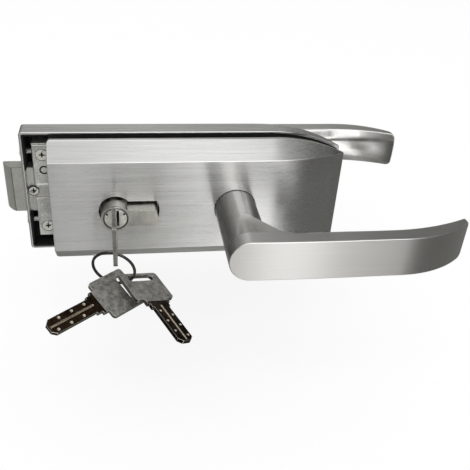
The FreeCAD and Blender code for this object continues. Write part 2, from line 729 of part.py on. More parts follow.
def place_key(origin, along, across):
    a = FreeCAD.Vector(*along).normalize()
    b = FreeCAD.Vector(*across)
    b = (b - a * a.dot(b)).normalize()
    n = a.cross(b)
    matrix = FreeCAD.Matrix(a.x, b.x, n.x, origin[0], a.y, b.y, n.y, origin[1], a.z, b.z, n.z, origin[2],
                            0, 0, 0, 1)
    key = flat_key()
    key.transformShape(matrix)
    return key


def ring_frame():
    tilt = math.radians(RING_TILT_DEG)
    yaw = math.radians(RING_YAW_DEG)
    side = v(math.cos(yaw), -math.sin(yaw), 0)
    down = v(math.sin(tilt) * math.sin(yaw), math.sin(tilt) * math.cos(yaw), -math.cos(tilt))
    top = v(CYL_X + KEY_SIDE, KEY_1_SLOT_Y + RING_ASIDE, RING_TOP_Z)
    turn = math.radians(RING_TOP_ANGLE)
    centre = top - side * (RING_R * math.cos(turn)) - down * (RING_R * math.sin(turn))
    return centre, side, down


def ring_point(angle):
    centre, side, down = ring_frame()
    turn = math.radians(angle)
    point = centre + side * (RING_R * math.cos(turn)) + down * (RING_R * math.sin(turn))
    along = down * math.cos(turn) - side * math.sin(turn)
    return point, along


def make_key_ring():
    centre, side, down = ring_frame()
    axis = side.cross(down)
    wide = RING_WIRE_R
    flat = RING_WIRE_R - RING_EDGE
    corners = []
    for out, up in ((flat, wide), (wide, flat), (wide, -flat), (flat, -wide),
                    (-flat, -wide), (-wide, -flat), (-wide, flat), (-flat, wide)):
        corners.append(centre + side * (RING_R + out) + axis * up)
    return polygon(corners).revolve(centre, axis, 360)


def make_hung_key(angle, shift, aside, along, across):
    point, tangent = ring_point(angle)
    origin = point - FreeCAD.Vector(*across).normalize() * shift
    origin += FreeCAD.Vector(*along).normalize() * aside
    return place_key((origin.x, origin.y, origin.z), along, across)


def make_key_1():
    return place_key((CYL_X + KEY_SIDE, KEY_1_SLOT_Y, 0), (0, 1, 0), (0, 0, 1))


# The lever is one forging: a round neck, a web that flows into the bar, and a bar with a flat front,
# flat edges and a rounded back that thins towards the end. It is drawn for the front side.
def front_y(x):
    if x <= BAR_BEND_X:
        return LEVER_FACE_Y
    return LEVER_FACE_Y + BAR_BEND_R - math.sqrt(BAR_BEND_R ** 2 - (x - BAR_BEND_X) ** 2)


def back_y(x):
    if x <= BAR_INNER_BEND_X:
        return BAR_BACK_Y
    return BAR_BACK_Y + BAR_INNER_BEND_R - math.sqrt(BAR_INNER_BEND_R ** 2 - (x - BAR_INNER_BEND_X) ** 2)


def bar_section(x, bulge):
    h = NECK_R
    return Part.Wire([
        line(v(x, front_y(x), -h), v(x, front_y(x), h)),
        line(v(x, front_y(x), h), v(x, back_y(x), h)),
        arc(v(x, back_y(x), h), v(x, back_y(x) + bulge, 0), v(x, back_y(x), -h)),
        line(v(x, back_y(x), -h), v(x, front_y(x), -h)),
    ])


def make_front_lever():
    neck_start = FRONT_FACE_Y - NECK_GAP
    h = NECK_R
    neck = rod_y(NECK_R, SPINDLE_X, 0, LEVER_FACE_Y, neck_start)
    slope = math.radians(WEB_SLOPE_DEG)
    web_top = BAR_BACK_Y + WEB_RISE
    foot_x = BAR_WEB_X + WEB_RISE / math.tan(slope)
    tangent = FILLET_R * math.tan(slope / 2)
    centre_x = foot_x + tangent
    centre_y = BAR_BACK_Y + FILLET_R
    upper_x = foot_x - tangent * math.cos(slope)
    upper_y = BAR_BACK_Y + tangent * math.sin(slope)
    web = face_of([
        line(v(SPINDLE_X, LEVER_FACE_Y, -h), v(centre_x, LEVER_FACE_Y, -h)),
        line(v(centre_x, LEVER_FACE_Y, -h), v(centre_x, BAR_BACK_Y, -h)),
        arc(v(centre_x, BAR_BACK_Y, -h),
            v(centre_x - FILLET_R * math.sin(slope / 2), centre_y - FILLET_R * math.cos(slope / 2), -h),
            v(upper_x, upper_y, -h)),
        line(v(upper_x, upper_y, -h), v(BAR_WEB_X, web_top, -h)),
        line(v(BAR_WEB_X, web_top, -h), v(SPINDLE_X, web_top, -h)),
        line(v(SPINDLE_X, web_top, -h), v(SPINDLE_X, LEVER_FACE_Y, -h)),
    ]).extrude(v(0, 0, 2 * h))
    straight = Part.Face(bar_section(SPINDLE_X + NECK_R, BAR_BULGE)).extrude(
        v(BAR_INNER_BEND_X - SPINDLE_X - NECK_R, 0, 0))
    sections = []
    for i in range(BAR_SECTIONS + 1):
        share = i / BAR_SECTIONS
        x = BAR_INNER_BEND_X + (BAR_END_X + MARGIN - BAR_INNER_BEND_X) * share
        sections.append(bar_section(x, BAR_BULGE + (BAR_END_BULGE - BAR_BULGE) * share))
    curved = Part.makeLoft(sections, True, False)
    end = BAR_END_X
    r = BAR_CORNER_R
    k = r * (1 - math.sqrt(0.5))
    y0 = LEVER_FACE_Y - MARGIN
    outline = face_of([
        arc(v(SPINDLE_X, y0, h), v(SPINDLE_X - NECK_R, y0, 0), v(SPINDLE_X, y0, -h)),
        line(v(SPINDLE_X, y0, -h), v(end - r, y0, -h)),
        arc(v(end - r, y0, -h), v(end - k, y0, -h + k), v(end, y0, -h + r)),
        line(v(end, y0, -h + r), v(end, y0, h - r)),
        arc(v(end, y0, h - r), v(end - k, y0, h - k), v(end - r, y0, h)),
        line(v(end - r, y0, h), v(SPINDLE_X, y0, h)),
    ]).extrude(v(0, LEVER_REACH + MARGIN, 0))
    handle = fuse([neck, web, straight, curved]).common(outline)
    journal = rod_y(JOURNAL_R, SPINDLE_X, 0, neck_start - MARGIN, PLATE_Y0 - RUN)
    handle = fuse([handle, journal])
    w = SPINDLE_W / 2 + SPINDLE_FIT
    tools = [
        box(SPINDLE_X - w, SPINDLE_X + w, neck_start - SPINDLE_IN, PLATE_Y0, -w, w),
        rod(GRUB_R, v(SPINDLE_X, neck_start - GRUB_FROM_FACE, -NECK_R - MARGIN), Z_AXIS, NECK_R + MARGIN),
    ]
    return handle.cut(tools)


def make_rear_lever():
    lever = make_front_lever()
    lever = lever.mirror(v(0, MIRROR_Y, 0), Y_AXIS)
    trim = box(SPINDLE_X - NECK_R, SPINDLE_X + NECK_R, -COVER_H, REAR_JOURNAL_Y, -NECK_R, NECK_R)
    return lever.cut(trim)


def make_spindle():
    y0 = FRONT_FACE_Y - NECK_GAP - SPINDLE_IN + RUN
    y1 = 2 * MIRROR_Y - y0
    w = SPINDLE_W / 2
    return box(SPINDLE_X - w, SPINDLE_X + w, y0, y1, -w, w)


def make_lever_screws():
    screws = []
    for y in (FRONT_FACE_Y - NECK_GAP - GRUB_FROM_FACE, REAR_DEPTH + NECK_GAP + GRUB_FROM_FACE):
        top = -SPINDLE_W / 2
        grub = rod(GRUB_R, v(SPINDLE_X, y, top - GRUB_L), Z_AXIS, GRUB_L)
        socket = rod(GRUB_R / 2, v(SPINDLE_X, y, top - GRUB_L), Z_AXIS, GRUB_R)
        screws.append(grub.cut(socket))
    return Part.makeCompound(screws)


def make_neck_bushes():
    front = rod_y(BUSH_R, SPINDLE_X, 0, FRONT_FACE_Y, PLATE_Y0)
    front = front.cut(rod_y(JOURNAL_R + BEARING, SPINDLE_X, 0, FRONT_FACE_Y, PLATE_Y0))
    rear = rod_y(BUSH_R, SPINDLE_X, 0, CASE_FLOOR_Y, REAR_DEPTH)
    rear = rear.cut(rod_y(JOURNAL_R + BEARING, SPINDLE_X, 0, CASE_FLOOR_Y, REAR_DEPTH))
    return Part.makeCompound([front, rear])


def make_follower():
    hub = rod_y(HUB_R, SPINDLE_X, 0, FOLLOWER_Y0, FOLLOWER_Y1)
    journal = rod_y(HUB_JOURNAL_R, SPINDLE_X, 0, LID_Y, CASE_FLOOR_Y - RUN)
    arm = box(SPINDLE_X - ARM_W / 2, SPINDLE_X + ARM_W / 2, FOLLOWER_Y0, FOLLOWER_Y1, 0, ARM_R)
    tip = rod_y(ARM_TIP_R, SPINDLE_X, ARM_R, FOLLOWER_Y0, FOLLOWER_Y1)
    upper = fuse([arm, tip])
    upper.rotate(v(SPINDLE_X, 0, 0), Y_AXIS, -ARM_LEAN_DEG)
    spring_arm = box(SPINDLE_X - ARM_TIP_R, SPINDLE_X + ARM_TIP_R, FOLLOWER_Y0, FOLLOWER_Y1,
                     -SPRING_ARM_R - ARM_TIP_R, 0)
    spring_arm.rotate(v(SPINDLE_X, 0, 0), Y_AXIS, -ARM_LEAN_DEG)
    w = SPINDLE_W / 2 + SPINDLE_FIT
    hole = box(SPINDLE_X - w, SPINDLE_X + w, 0, CASE_BACK_Y, -w, w)
    return fuse([hub, journal, upper, spring_arm]).cut(hole)


def make_latch_bolt():
    y0 = LATCH_Y
    y1 = LATCH_Y + LATCH_T
    tip = LATCH_TIP_X
    head = face_of([
        line(v(LATCH_BACK_X, y0, LATCH_BOTTOM_Z), v(tip + BEVEL_RUN, y0, LATCH_BOTTOM_Z)),
        arc(v(tip + BEVEL_RUN, y0, LATCH_BOTTOM_Z),
            v(tip + NOSE_X, y0 + NOSE_Y, LATCH_BOTTOM_Z),
            v(tip, y1 - MARGIN, LATCH_BOTTOM_Z)),
        line(v(tip, y1 - MARGIN, LATCH_BOTTOM_Z), v(tip + MARGIN, y1, LATCH_BOTTOM_Z)),
        line(v(tip + MARGIN, y1, LATCH_BOTTOM_Z), v(LATCH_BACK_X, y1, LATCH_BOTTOM_Z)),
        line(v(LATCH_BACK_X, y1, LATCH_BOTTOM_Z), v(LATCH_BACK_X, y0, LATCH_BOTTOM_Z)),
    ]).extrude(v(0, 0, LATCH_H))
    lug_x = LUG_X
    tail = box(LATCH_BACK_X - WEB_L, lug_x + TAIL_LUG_W, TAIL_Y0, TAIL_Y1, TAIL_BOTTOM_Z, TAIL_TOP_Z)
    web = box(LATCH_BACK_X - WEB_L, LATCH_BACK_X, TAIL_Y0, TAIL_Y1, WEB_BOTTOM_Z, TAIL_TOP_Z)
    lug = box(lug_x, lug_x + TAIL_LUG_W, TAIL_Y0, TAIL_Y1, LUG_BOTTOM_Z, TAIL_TOP_Z)
    foot = box(LATCH_BACK_X - FOOT_W, LATCH_BACK_X, y0, SLIDE_Y0 - RUN,
               FOOT_BOTTOM_Z, LATCH_BOTTOM_Z + MARGIN)
    tools = [
        rod_y(GUIDE_RECESS_R, GUIDE_X, GUIDE_Z, y0 - MARGIN, y0 + RUN),
        rod_y(GUIDE_SHANK_R, GUIDE_X, GUIDE_Z, y0 - MARGIN, y1 - MARGIN),
    ]
    return fuse([head, tail, web, lug, foot]).cut(tools)


def make_guide_screw():
    top = LATCH_Y + RUN - GUIDE_HEAD_T
    head = rod_y(GUIDE_HEAD_R, GUIDE_X, GUIDE_Z, top, LATCH_Y + RUN)
    shank = rod_y(GUIDE_SHANK_R, GUIDE_X, GUIDE_Z, LATCH_Y + RUN, LATCH_Y + LATCH_T - MARGIN)
    return fuse([head, shank]).cut(cross_recess(GUIDE_X, top, GUIDE_Z, "y"))


def make_latch_spring():
    return spring(LATCH_BACK_X, LATCH_SPRING_END_X, SPRING_Z)


def make_spring_rod():
    start = LATCH_BACK_X + LATCH_TRAVEL + MARGIN
    return rod(ROD_R, v(start, SPRING_Y, SPRING_Z), X_AXIS, LATCH_SPRING_END_X - start)


def make_return_spring():
    lean = math.radians(ARM_LEAN_DEG)
    reach = SPINDLE_X + SPRING_ARM_R * math.sin(lean) - ARM_TIP_R / math.cos(lean) - RUN * 2
    return spring(RETURN_SPRING_X, reach, RETURN_SPRING_Z)


def make_lock_slide():
    plate = box(SLIDE_LEFT_X, SLIDE_RIGHT_X, SLIDE_Y0, SLIDE_Y1, SLIDE_BOTTOM_Z, SLIDE_TOP_Z)
    w = CAM_W / 2 + MARGIN
    notch = box(SLIDE_REST_X - w - RUN, SLIDE_REST_X + w + RUN, SLIDE_Y0 - MARGIN, SLIDE_Y1 + MARGIN,
                -CAM_R - RUN, SLIDE_TOP_Z + MARGIN)
    clear_x = LATCH_BACK_X + LATCH_TRAVEL + SLIDE_TRAVEL + RUN
    ledge = box(SLIDE_LEFT_X - MARGIN, clear_x, SLIDE_Y0 - MARGIN, SLIDE_Y1 + MARGIN,
                LATCH_BOTTOM_Z - RUN, SLIDE_TOP_Z + MARGIN)
    return plate.cut(fuse([notch, ledge]))


def make_cover_screws():
    screws = []
    bottom = MID_Z - COVER_H / 2
    plate_z = bottom + BEVEL_H / 2 + COVER_WALL
    for x in COVER_SCREW_X:
        grub = rod(COVER_SCREW_R, v(x, FRONT_SCREW_Y, bottom + MARGIN), Z_AXIS, plate_z - bottom - MARGIN)
        screws.append(grub)
    return Part.makeCompound(screws)


NODES = {
    "front_cover": make_front_cover,
    "rear_cover": make_rear_cover,
    "front_lining": make_front_lining,
    "rear_lining": make_rear_lining,
    "edge_liner": make_edge_liner,
    "front_plate": make_front_plate,
    "lock_case": make_lock_case,
    "case_lid": make_case_lid,
    "lid_screws": make_lid_screws,
    "end_screws": make_end_screws,
    "clamp_bolts": make_clamp_bolts,
    "clamp_sleeves": make_clamp_sleeves,
    "cover_screws": make_cover_screws,
    "neck_bushes": make_neck_bushes,
    "cylinder_body": make_cylinder_body,
    "cylinder_screw": make_cylinder_screw,
    "front_plug": make_front_plug,
    "rear_plug": make_rear_plug,
    "plug_ring": make_plug_ring,
    "cam": make_cam,
    "key_1": make_key_1,
    "key_ring": make_key_ring,
    "key_2": lambda: make_hung_key(KEY_2_ANGLE, KEY_2_SHIFT, KEY_2_ASIDE, KEY_2_ALONG, KEY_2_ACROSS),
    "key_3": lambda: make_hung_key(KEY_3_ANGLE, KEY_3_SHIFT, KEY_3_ASIDE, KEY_3_ALONG, KEY_3_ACROSS),
    "lock_slide": make_lock_slide,
    "latch_bolt": make_latch_bolt,
    "guide_screw": make_guide_screw,
    "latch_spring": make_latch_spring,
    "spring_rod": make_spring_rod,
    "follower": make_follower,
    "return_spring": make_return_spring,
    "spindle": make_spindle,
    "front_lever": make_front_lever,
    "rear_lever": make_rear_lever,
    "lever_screws": make_lever_screws,
}

os.makedirs("parts", exist_ok=True)
for name, make in NODES.items():
    shape = make()
    shape.exportStep("parts/" + name + ".step")
    print(name, len(shape.Solids), round(shape.Volume, 1), shape.isValid())

# Where the ring passes through each key, and the wire's direction there, for the joints in the record
for name, angle in (("key_1", RING_TOP_ANGLE), ("key_2", KEY_2_ANGLE), ("key_3", KEY_3_ANGLE)):
    point, along = ring_point(angle)
    print("wire at", name, [round(value, 3) for value in point], [round(value, 4) for value in along])
print("latch travel", round(LATCH_TRAVEL, 3), "lever turn", 2 * ARM_LEAN_DEG)
print("slide travel", round(SLIDE_TRAVEL, 3))
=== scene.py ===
import math

import bmesh
import bpy
from bpy.props import FloatProperty, FloatVectorProperty, IntProperty, PointerProperty
from bpy.types import Operator, Panel, PropertyGroup
from mathutils import Matrix, Vector


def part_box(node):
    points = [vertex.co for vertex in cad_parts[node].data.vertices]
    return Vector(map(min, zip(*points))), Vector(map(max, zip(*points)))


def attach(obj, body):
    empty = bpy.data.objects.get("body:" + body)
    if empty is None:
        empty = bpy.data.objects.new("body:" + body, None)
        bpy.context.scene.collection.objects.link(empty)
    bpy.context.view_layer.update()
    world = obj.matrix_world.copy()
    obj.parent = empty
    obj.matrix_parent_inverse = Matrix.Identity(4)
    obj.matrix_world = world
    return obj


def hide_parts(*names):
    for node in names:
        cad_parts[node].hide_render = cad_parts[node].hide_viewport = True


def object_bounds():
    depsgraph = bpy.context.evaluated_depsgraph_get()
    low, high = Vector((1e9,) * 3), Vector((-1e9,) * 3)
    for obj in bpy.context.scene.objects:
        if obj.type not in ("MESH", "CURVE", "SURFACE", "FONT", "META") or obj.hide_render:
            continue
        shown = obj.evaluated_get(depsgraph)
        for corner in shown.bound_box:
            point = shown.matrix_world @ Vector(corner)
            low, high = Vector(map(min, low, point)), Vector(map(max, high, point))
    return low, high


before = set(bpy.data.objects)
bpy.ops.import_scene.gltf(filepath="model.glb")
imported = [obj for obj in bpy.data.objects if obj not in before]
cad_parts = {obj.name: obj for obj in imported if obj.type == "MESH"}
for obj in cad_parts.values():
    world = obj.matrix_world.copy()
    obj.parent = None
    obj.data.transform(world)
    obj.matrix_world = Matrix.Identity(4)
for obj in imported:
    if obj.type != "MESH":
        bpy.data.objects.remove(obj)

bl_info = {
    "name": "Glass door lock",
    "version": (1, 0, 0),
    "blender": (4, 5, 0),
    "location": "3D View > Sidebar > Door lock",
    "description": "Dresses a clamp-on glass door lock with its levers, latch, cylinder and keys",
    "category": "Object",
}

# Sizes, in metres
MM = 0.001
CAD_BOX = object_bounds()
MERGE = 0.002 * MM
SHARP = math.radians(28)
FLAT = math.radians(0.6)
LONG_EDGE = 2.5 * MM
SMALL_SHARE = 0.2
TUBE_CORNERS = 10

# Levers
SPINDLE_X = 36.0 * MM
NECK_R = 12.5 * MM
NECK_GAP = 0.45 * MM
BLEND_FROM = SPINDLE_X + 1.0 * MM
BLEND_TO = SPINDLE_X + 12.0 * MM
BAR_DEPTH = 11.0 * MM
BAR_FACE = min(-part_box("front_lever")[0].y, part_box("rear_lever")[1].y) - BAR_DEPTH
INNER_FROM = 50.0 * MM
CROWN = 1.4 * MM
CROWN_X = 88.0 * MM
CROWN_STEPS = 12
CROWN_NEAR = 0.2 * MM

# Lid of the case
RIB_INSET = 1.0 * MM
RIB_RISE = 0.9 * MM
RIB_SINK = 0.4 * MM
LID_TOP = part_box("case_lid")[1].z
LID_RIBS = ((LID_TOP - 1.9 * MM, LID_TOP - 0.7 * MM, -60.0 * MM), (5.2 * MM, 7.4 * MM, -66.0 * MM))
LID_MARK_X = -77.5 * MM
LID_MARK_Z = 16.3 * MM
LID_MARK_R = 1.9 * MM
MARK_PROUD = 0.03 * MM
MARK_LINE = 0.9 * MM
MARK_STEPS = 28

# Screws
HEAD_LINE = 0.3 * MM
HEAD_SKIN = 0.02 * MM
RECESS_DEPTH = 1.3 * MM
THREAD_WIRE = 0.35 * MM
THREAD_PITCH = 0.9 * MM
THREAD_R = 1.55 * MM
END_HEAD_R = 2.9 * MM
COVER_WALL = 1.5 * MM

# Cylinder
CYLINDER_X = -36.0 * MM
PLUG_R = 6.5 * MM
PLUG_LINE = 0.55 * MM
PLUG_RIM = 0.3 * MM
LIP_STEPS = 48
PIN_MARK_R = 0.7 * MM
PIN_MARK_RISE = 2.9 * MM
PIN_MARK_ASIDE = 4.9 * MM
PIN_MARK_SINK = 0.02 * MM
PIN_MARK_STEPS = 20

# Where edges get less rounding: round holes, given by their X and reach, and the covers' two ends
COVER_HOLES = ((SPINDLE_X, 14.0 * MM), (CYLINDER_X, 13.0 * MM), (CYLINDER_X + 14.0 * MM, 14.0 * MM))
LEVER_HOLES = ((SPINDLE_X, 11.5 * MM),)
TIP_X = 50.0 * MM
TIP_SHARE = 0.35
END_X = -95.0 * MM
CREASE_GAP = 1.0 * MM
UPRIGHT = 0.8

# Keys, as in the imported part: the body, the angle on the ring in degrees, how far in millimetres the slot's
# middle lies from the wire, across the bow and towards the tip, and these two ways
KEYS = {
    "key_1": ("plug", -80.6, 6.7, -0.8, (0.0, 0.0, 1.0), (0.0, 1.0, 0.0)),
    "key_2": ("second_key", 68.4, 3.93, 0.42, (0.578, -0.717, -0.390), (-0.777, -0.630, 0.0)),
    "key_3": ("third_key", 40.0, 6.1, 0.4, (0.828, 0.456, -0.326), (0.434, -0.890, -0.144)),
}
KEY_T = 2.4 * MM
BLADE_FROM = 25.2 * MM
BLADE_L = 27.8 * MM
SHOULDER_FROM = 20.4 * MM
DIMPLE_R = 0.9 * MM
DIMPLE_SINK = 0.5 * MM
DIMPLE_FROM = 3.2 * MM
DIMPLE_STEP = 4.1 * MM
DIMPLE_ROW = 3.0 * MM
DIMPLE_RISE = 0.3 * MM
DIMPLE_CORNERS = 14
GROOVE_W = 0.9 * MM
GROOVE_SINK = 0.45 * MM
GROOVE_LEAD = 1.0 * MM
GROOVE_SHARE = 0.96

# Key ring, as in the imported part, where it hangs from the first key's slot, and springs
RING_R = 12.2 * MM
RING_TILT = math.radians(10.5)
RING_YAW = math.radians(16.7)
RING_SIDE = Vector((math.cos(RING_YAW), -math.sin(RING_YAW), 0))
RING_DOWN = Vector((math.sin(RING_TILT) * math.sin(RING_YAW), math.sin(RING_TILT) * math.cos(RING_YAW),
                    -math.cos(RING_TILT)))
RING_TOP = Vector((CYLINDER_X - 0.6 * MM, -54.5 * MM, -6.7 * MM))
RING_TOP_TURN = math.radians(KEYS["key_1"][1])
RING_CENTRE = RING_TOP - RING_R * (RING_SIDE * math.cos(RING_TOP_TURN)
                                   + RING_DOWN * math.sin(RING_TOP_TURN))
RING_STEPS = 96
RING_FROM = math.radians(150)
RING_FILL = 0.96
COIL_STEPS = 16

# Stage; the floor lies low enough for the levers when they are turned down
FLOOR_HALF = 6.0
FLOOR_DROP = 70.0 * MM
FLOOR_GLOW = 0.7
TENT_R = 2.5
TENT_LOW = -4.0
TENT_HIGH = 7.0
TENT_STEPS = 96
LAMP_SIZE = (1.6, 1.1)
LAMP_AT = Vector((-0.2, -0.9, 1.5))

# Camera, fitted to the photograph, with its pitch, yaw and roll in degrees
CAMERA_AT = Vector((-0.03135, -0.36238, 0.20236))
CAMERA_TURN = (32.42, 11.304, -4.3217)
CAMERA_LENS = 50.496

# Tent panels from low to high: the height where each zone is reached, and its panels, as the angle round the
# object from its front in degrees to the right, with the brightness there
TENT_ZONES = (
    ((-3.2, -2.8), ((-180, 0.2), (-8, 0.25), (0, 0.35), (14, 0.5), (24, 0.3), (180, 0.2))),
    ((-2.05, -1.85), ((-180, 0.15), (-130, 0.3), (-70, 0.25), (-40, 0.05), (-15, 0.08), (-8, 0.4), (3, 0.45),
                      (6, 1.1), (12, 1.7), (17, 1.8), (19, 0.8), (21, 0.3), (60, 0.2), (180, 0.15))),
    ((-1.7, -1.4), ((-180, 0.15), (-130, 0.3), (-70, 0.25), (-40, 0.05), (-15, 0.06), (-11, 0.12),
                    (-8, 0.85), (0, 0.5), (3, 0.4), (5, 0.9), (8, 1.35), (10, 1.9), (16, 2.1), (19.5, 2.5),
                    (21, 1.4), (22.5, 0.35), (24, 0.1), (60, 0.2), (180, 0.15))),
    ((-0.9, -0.7), ((-180, 0.15), (-130, 0.3), (-70, 0.25), (-40, 0.05), (-15, 0.05), (-11, 0.12), (-9, 0.9),
                    (-5.5, 1.35), (-3, 0.5), (3, 0.35), (8, 0.3), (9.5, 0.9), (11.5, 2.2), (19.2, 2.0),
                    (21.5, 0.5), (23.5, 0.2), (60, 0.2), (120, 0.3), (180, 0.15))),
    ((-0.2, -0.1), ((-180, 0.15), (-60, 0.05), (-15, 0.06), (-9, 0.5), (-5.5, 0.95), (3, 0.5), (8, 0.4),
                    (11.5, 1.5), (17, 1.6), (19, 2.4), (25, 2.4), (26.5, 0.2), (35, 0.1), (180, 0.15))),
    ((0.15, 0.5), ((-180, 0.15), (-60, 0.05), (-32, 0.05), (-15, 0.2), (6, 0.8), (12, 1.4), (17, 1.6),
                   (19, 2.4), (30, 2.4), (33, 0.3), (38, 0.12), (60, 0.1), (180, 0.15))),
    ((1.15, 1.45), ((-180, 0.35), (-120, 0.3), (-60, 0.12), (-40, 0.15), (-30, 0.3), (-15, 0.45), (-4, 0.6),
                    (0, 1.2), (2, 2.2), (5, 2.2), (7, 1.6), (14, 1.8), (17.5, 1.7), (19.5, 0.4),
                    (24.5, 0.35), (26.5, 1.9), (32, 1.5), (36, 0.15), (60, 0.12), (120, 0.2), (152, 0.4),
                    (162, 0.9), (168, 0.6), (173, 0.35), (180, 0.35))),
    ((2.35, 2.9), ((-180, 0.5), (-150, 0.1), (-60, 0.4), (-20, 1.1), (-6, 1.1), (1, 2.0), (5, 2.0),
                   (10, 1.6), (20, 2.0), (27, 1.5), (32, 0.3), (60, 0.12), (150, 0.05), (158, 0.1),
                   (170, 0.4), (180, 0.5))),
    ((None, None), ((-180, 0.8), (-30, 0.9), (-8, 0.95), (10, 1.03), (17, 1.35), (24.3, 1.7), (26.8, 0.45),
                    (29, 0.12), (70, 0.15), (85, 0.5), (100, 0.5), (115, 0.15), (165, 0.25), (173, 0.7),
                    (180, 0.8))),
)
TENT_TOP = 2.6


def linear(text):
    """Turns an sRGB hex colour into the linear values that Blender's sockets take."""
    parts = [int(text[i:i + 2], 16) / 255 for i in (1, 3, 5)]
    return tuple(c / 12.92 if c <= 0.04045 else ((c + 0.055) / 1.055) ** 2.4 for c in parts) + (1.0,)


def colour(name, description, text):
    """A colour setting with its default as sRGB hex."""
    return FloatVectorProperty(name=name, description=description, default=linear(text), size=4, min=0,
                               max=1, subtype="COLOR")


def length(name, description, value):
    """A length setting in metres."""
    return FloatProperty(name=name, description=description, default=value, min=0, unit="LENGTH",
                         precision=5)


class LockColours(PropertyGroup):
    """Colours of the lock's finishes."""
    steel: colour("Brushed steel", "Covers of brushed stainless steel", "#cfcfce")
    # Painted highlight: a brighter colour for the rounded edges of the covers, levers and lid.
    edge: colour("Edge highlight", "Painted highlight on rounded edges", "#f1f1ef")
    lever: colour("Satin steel", "Levers of satin stainless steel", "#cdccca")
    nickel: colour("Matt nickel", "Cylinder with its matt nickel plating", "#cbcac4")
    # Also the screws' colour, and the keys' rounded corners, where this lighter tone is a painted highlight.
    plug: colour("Plug nickel", "Face of the turning plug", "#eae9e2")
    key: colour("Key nickel", "Bows of the keys", "#a8a7a3")
    blade: colour("Worn key nickel", "Blades of the keys, browner than the bows", "#372b20")
    track: colour("Cut nickel silver", "Cut places of the keys, with a yellow tinge", "#b8a479")
    zinc: colour("Cast zinc", "Lock case and its lid", "#d6d7d2")
    screw: colour("Zinc plated steel", "Screws and inner steel pieces", "#c8c7c2")
    latch: colour("Sintered steel", "Latch bolt", "#cfcfc9")
    # Painted shade: a darker grey for the latch's rounded edges and the keys' sides.
    film: colour("Grey film", "Edges of the latch and the keys' sides", "#85847f")
    ring: colour("Spring steel", "Split ring of the keys", "#6d6a66")
    # Painted shade for recesses, gaps and rims.
    shade: colour("Shaded metal", "Painted shade in hollows, gaps and rims", "#2a2a28")
    black: colour("Black sheet", "Linings, liner and nylon pieces", "#161616")
    floor: colour("Floor", "Pale studio floor", "#ffffff")


class LockSizes(PropertyGroup):
    """Sizes of the details that the visual pieces add."""
    cover_edge: length("Cover edge", "Width of the rounding on the covers' edges", 0.55 * MM)
    lever_edge: length("Lever edge", "Width of the rounding on the levers' edges", 0.55 * MM)
    key_edge: length("Key edge", "Width of the rounding on the keys' edges", 0.3 * MM)
    lid_edge: length("Lid edge", "Width of the rounding on the case lid's edges", 0.5 * MM)
    small_edge: length("Small edge", "Width of the rounding on small pieces", 0.15 * MM)
    ring_wire: length("Ring wire", "Width of the split ring's flat wire", 1.5 * MM)
    ring_turn: length("Ring turn", "Thickness of one turn of the split ring", 0.76 * MM)
    coil_wire: length("Coil wire", "Width of the springs' wire", 0.9 * MM)
    coil_pitch: length("Coil pitch", "Distance from turn to turn of the springs", 2.0 * MM)
    grain: length("Grain spacing", "Distance between the brush lines as drawn", 0.7 * MM)
    dimples: IntProperty(name="Dimples", description="Coding dimples on each side of a key", default=6,
                         min=1, max=8)


class LockStage(PropertyGroup):
    """Light of the plain studio."""
    lamp: FloatProperty(name="Soft lamp", description="Power of the soft lamp above", default=7.0, min=0,
                        unit="POWER")
    tent: FloatProperty(name="Tent", description="Brightness of the tent that the metal mirrors",
                        default=1.0, min=0)
    day: FloatProperty(name="Room light", description="Brightness of the room's even light", default=0.9,
                       min=0)


def add(tree, kind, values=None, feeds=None, **options):
    """Adds one node with its options, its input values and its links."""
    node = tree.nodes.new(kind)
    for name, value in options.items():
        setattr(node, name, value)
    for socket, value in (values or {}).items():
        node.inputs[socket].default_value = value
    for socket, source in (feeds or {}).items():
        tree.links.new(source, node.inputs[socket])
    return node


def new_material(name):
    """An empty material with its output node."""
    material = bpy.data.materials.new(name)
    material.use_nodes = True
    material.node_tree.nodes.clear()
    output = add(material.node_tree, "ShaderNodeOutputMaterial")
    return material, material.node_tree, output


def shade_of(tone, share):
    """The same colour, lighter or darker by a share."""
    return tuple(min(1.0, c * share) for c in tone[:3]) + (1.0,)


def across_grain(tree):
    """The direction across a grain that runs along the piece's X, for the shader's tangent."""
    surface = add(tree, "ShaderNodeNewGeometry")
    along = add(tree, "ShaderNodeVectorTransform", {"Vector": (1, 0, 0)}, vector_type="VECTOR",
                convert_from="OBJECT", convert_to="WORLD")
    cross = add(tree, "ShaderNodeVectorMath", feeds={0: surface.outputs["Normal"],
                                                     1: along.outputs["Vector"]}, operation="CROSS_PRODUCT")
    return cross.outputs["Vector"]


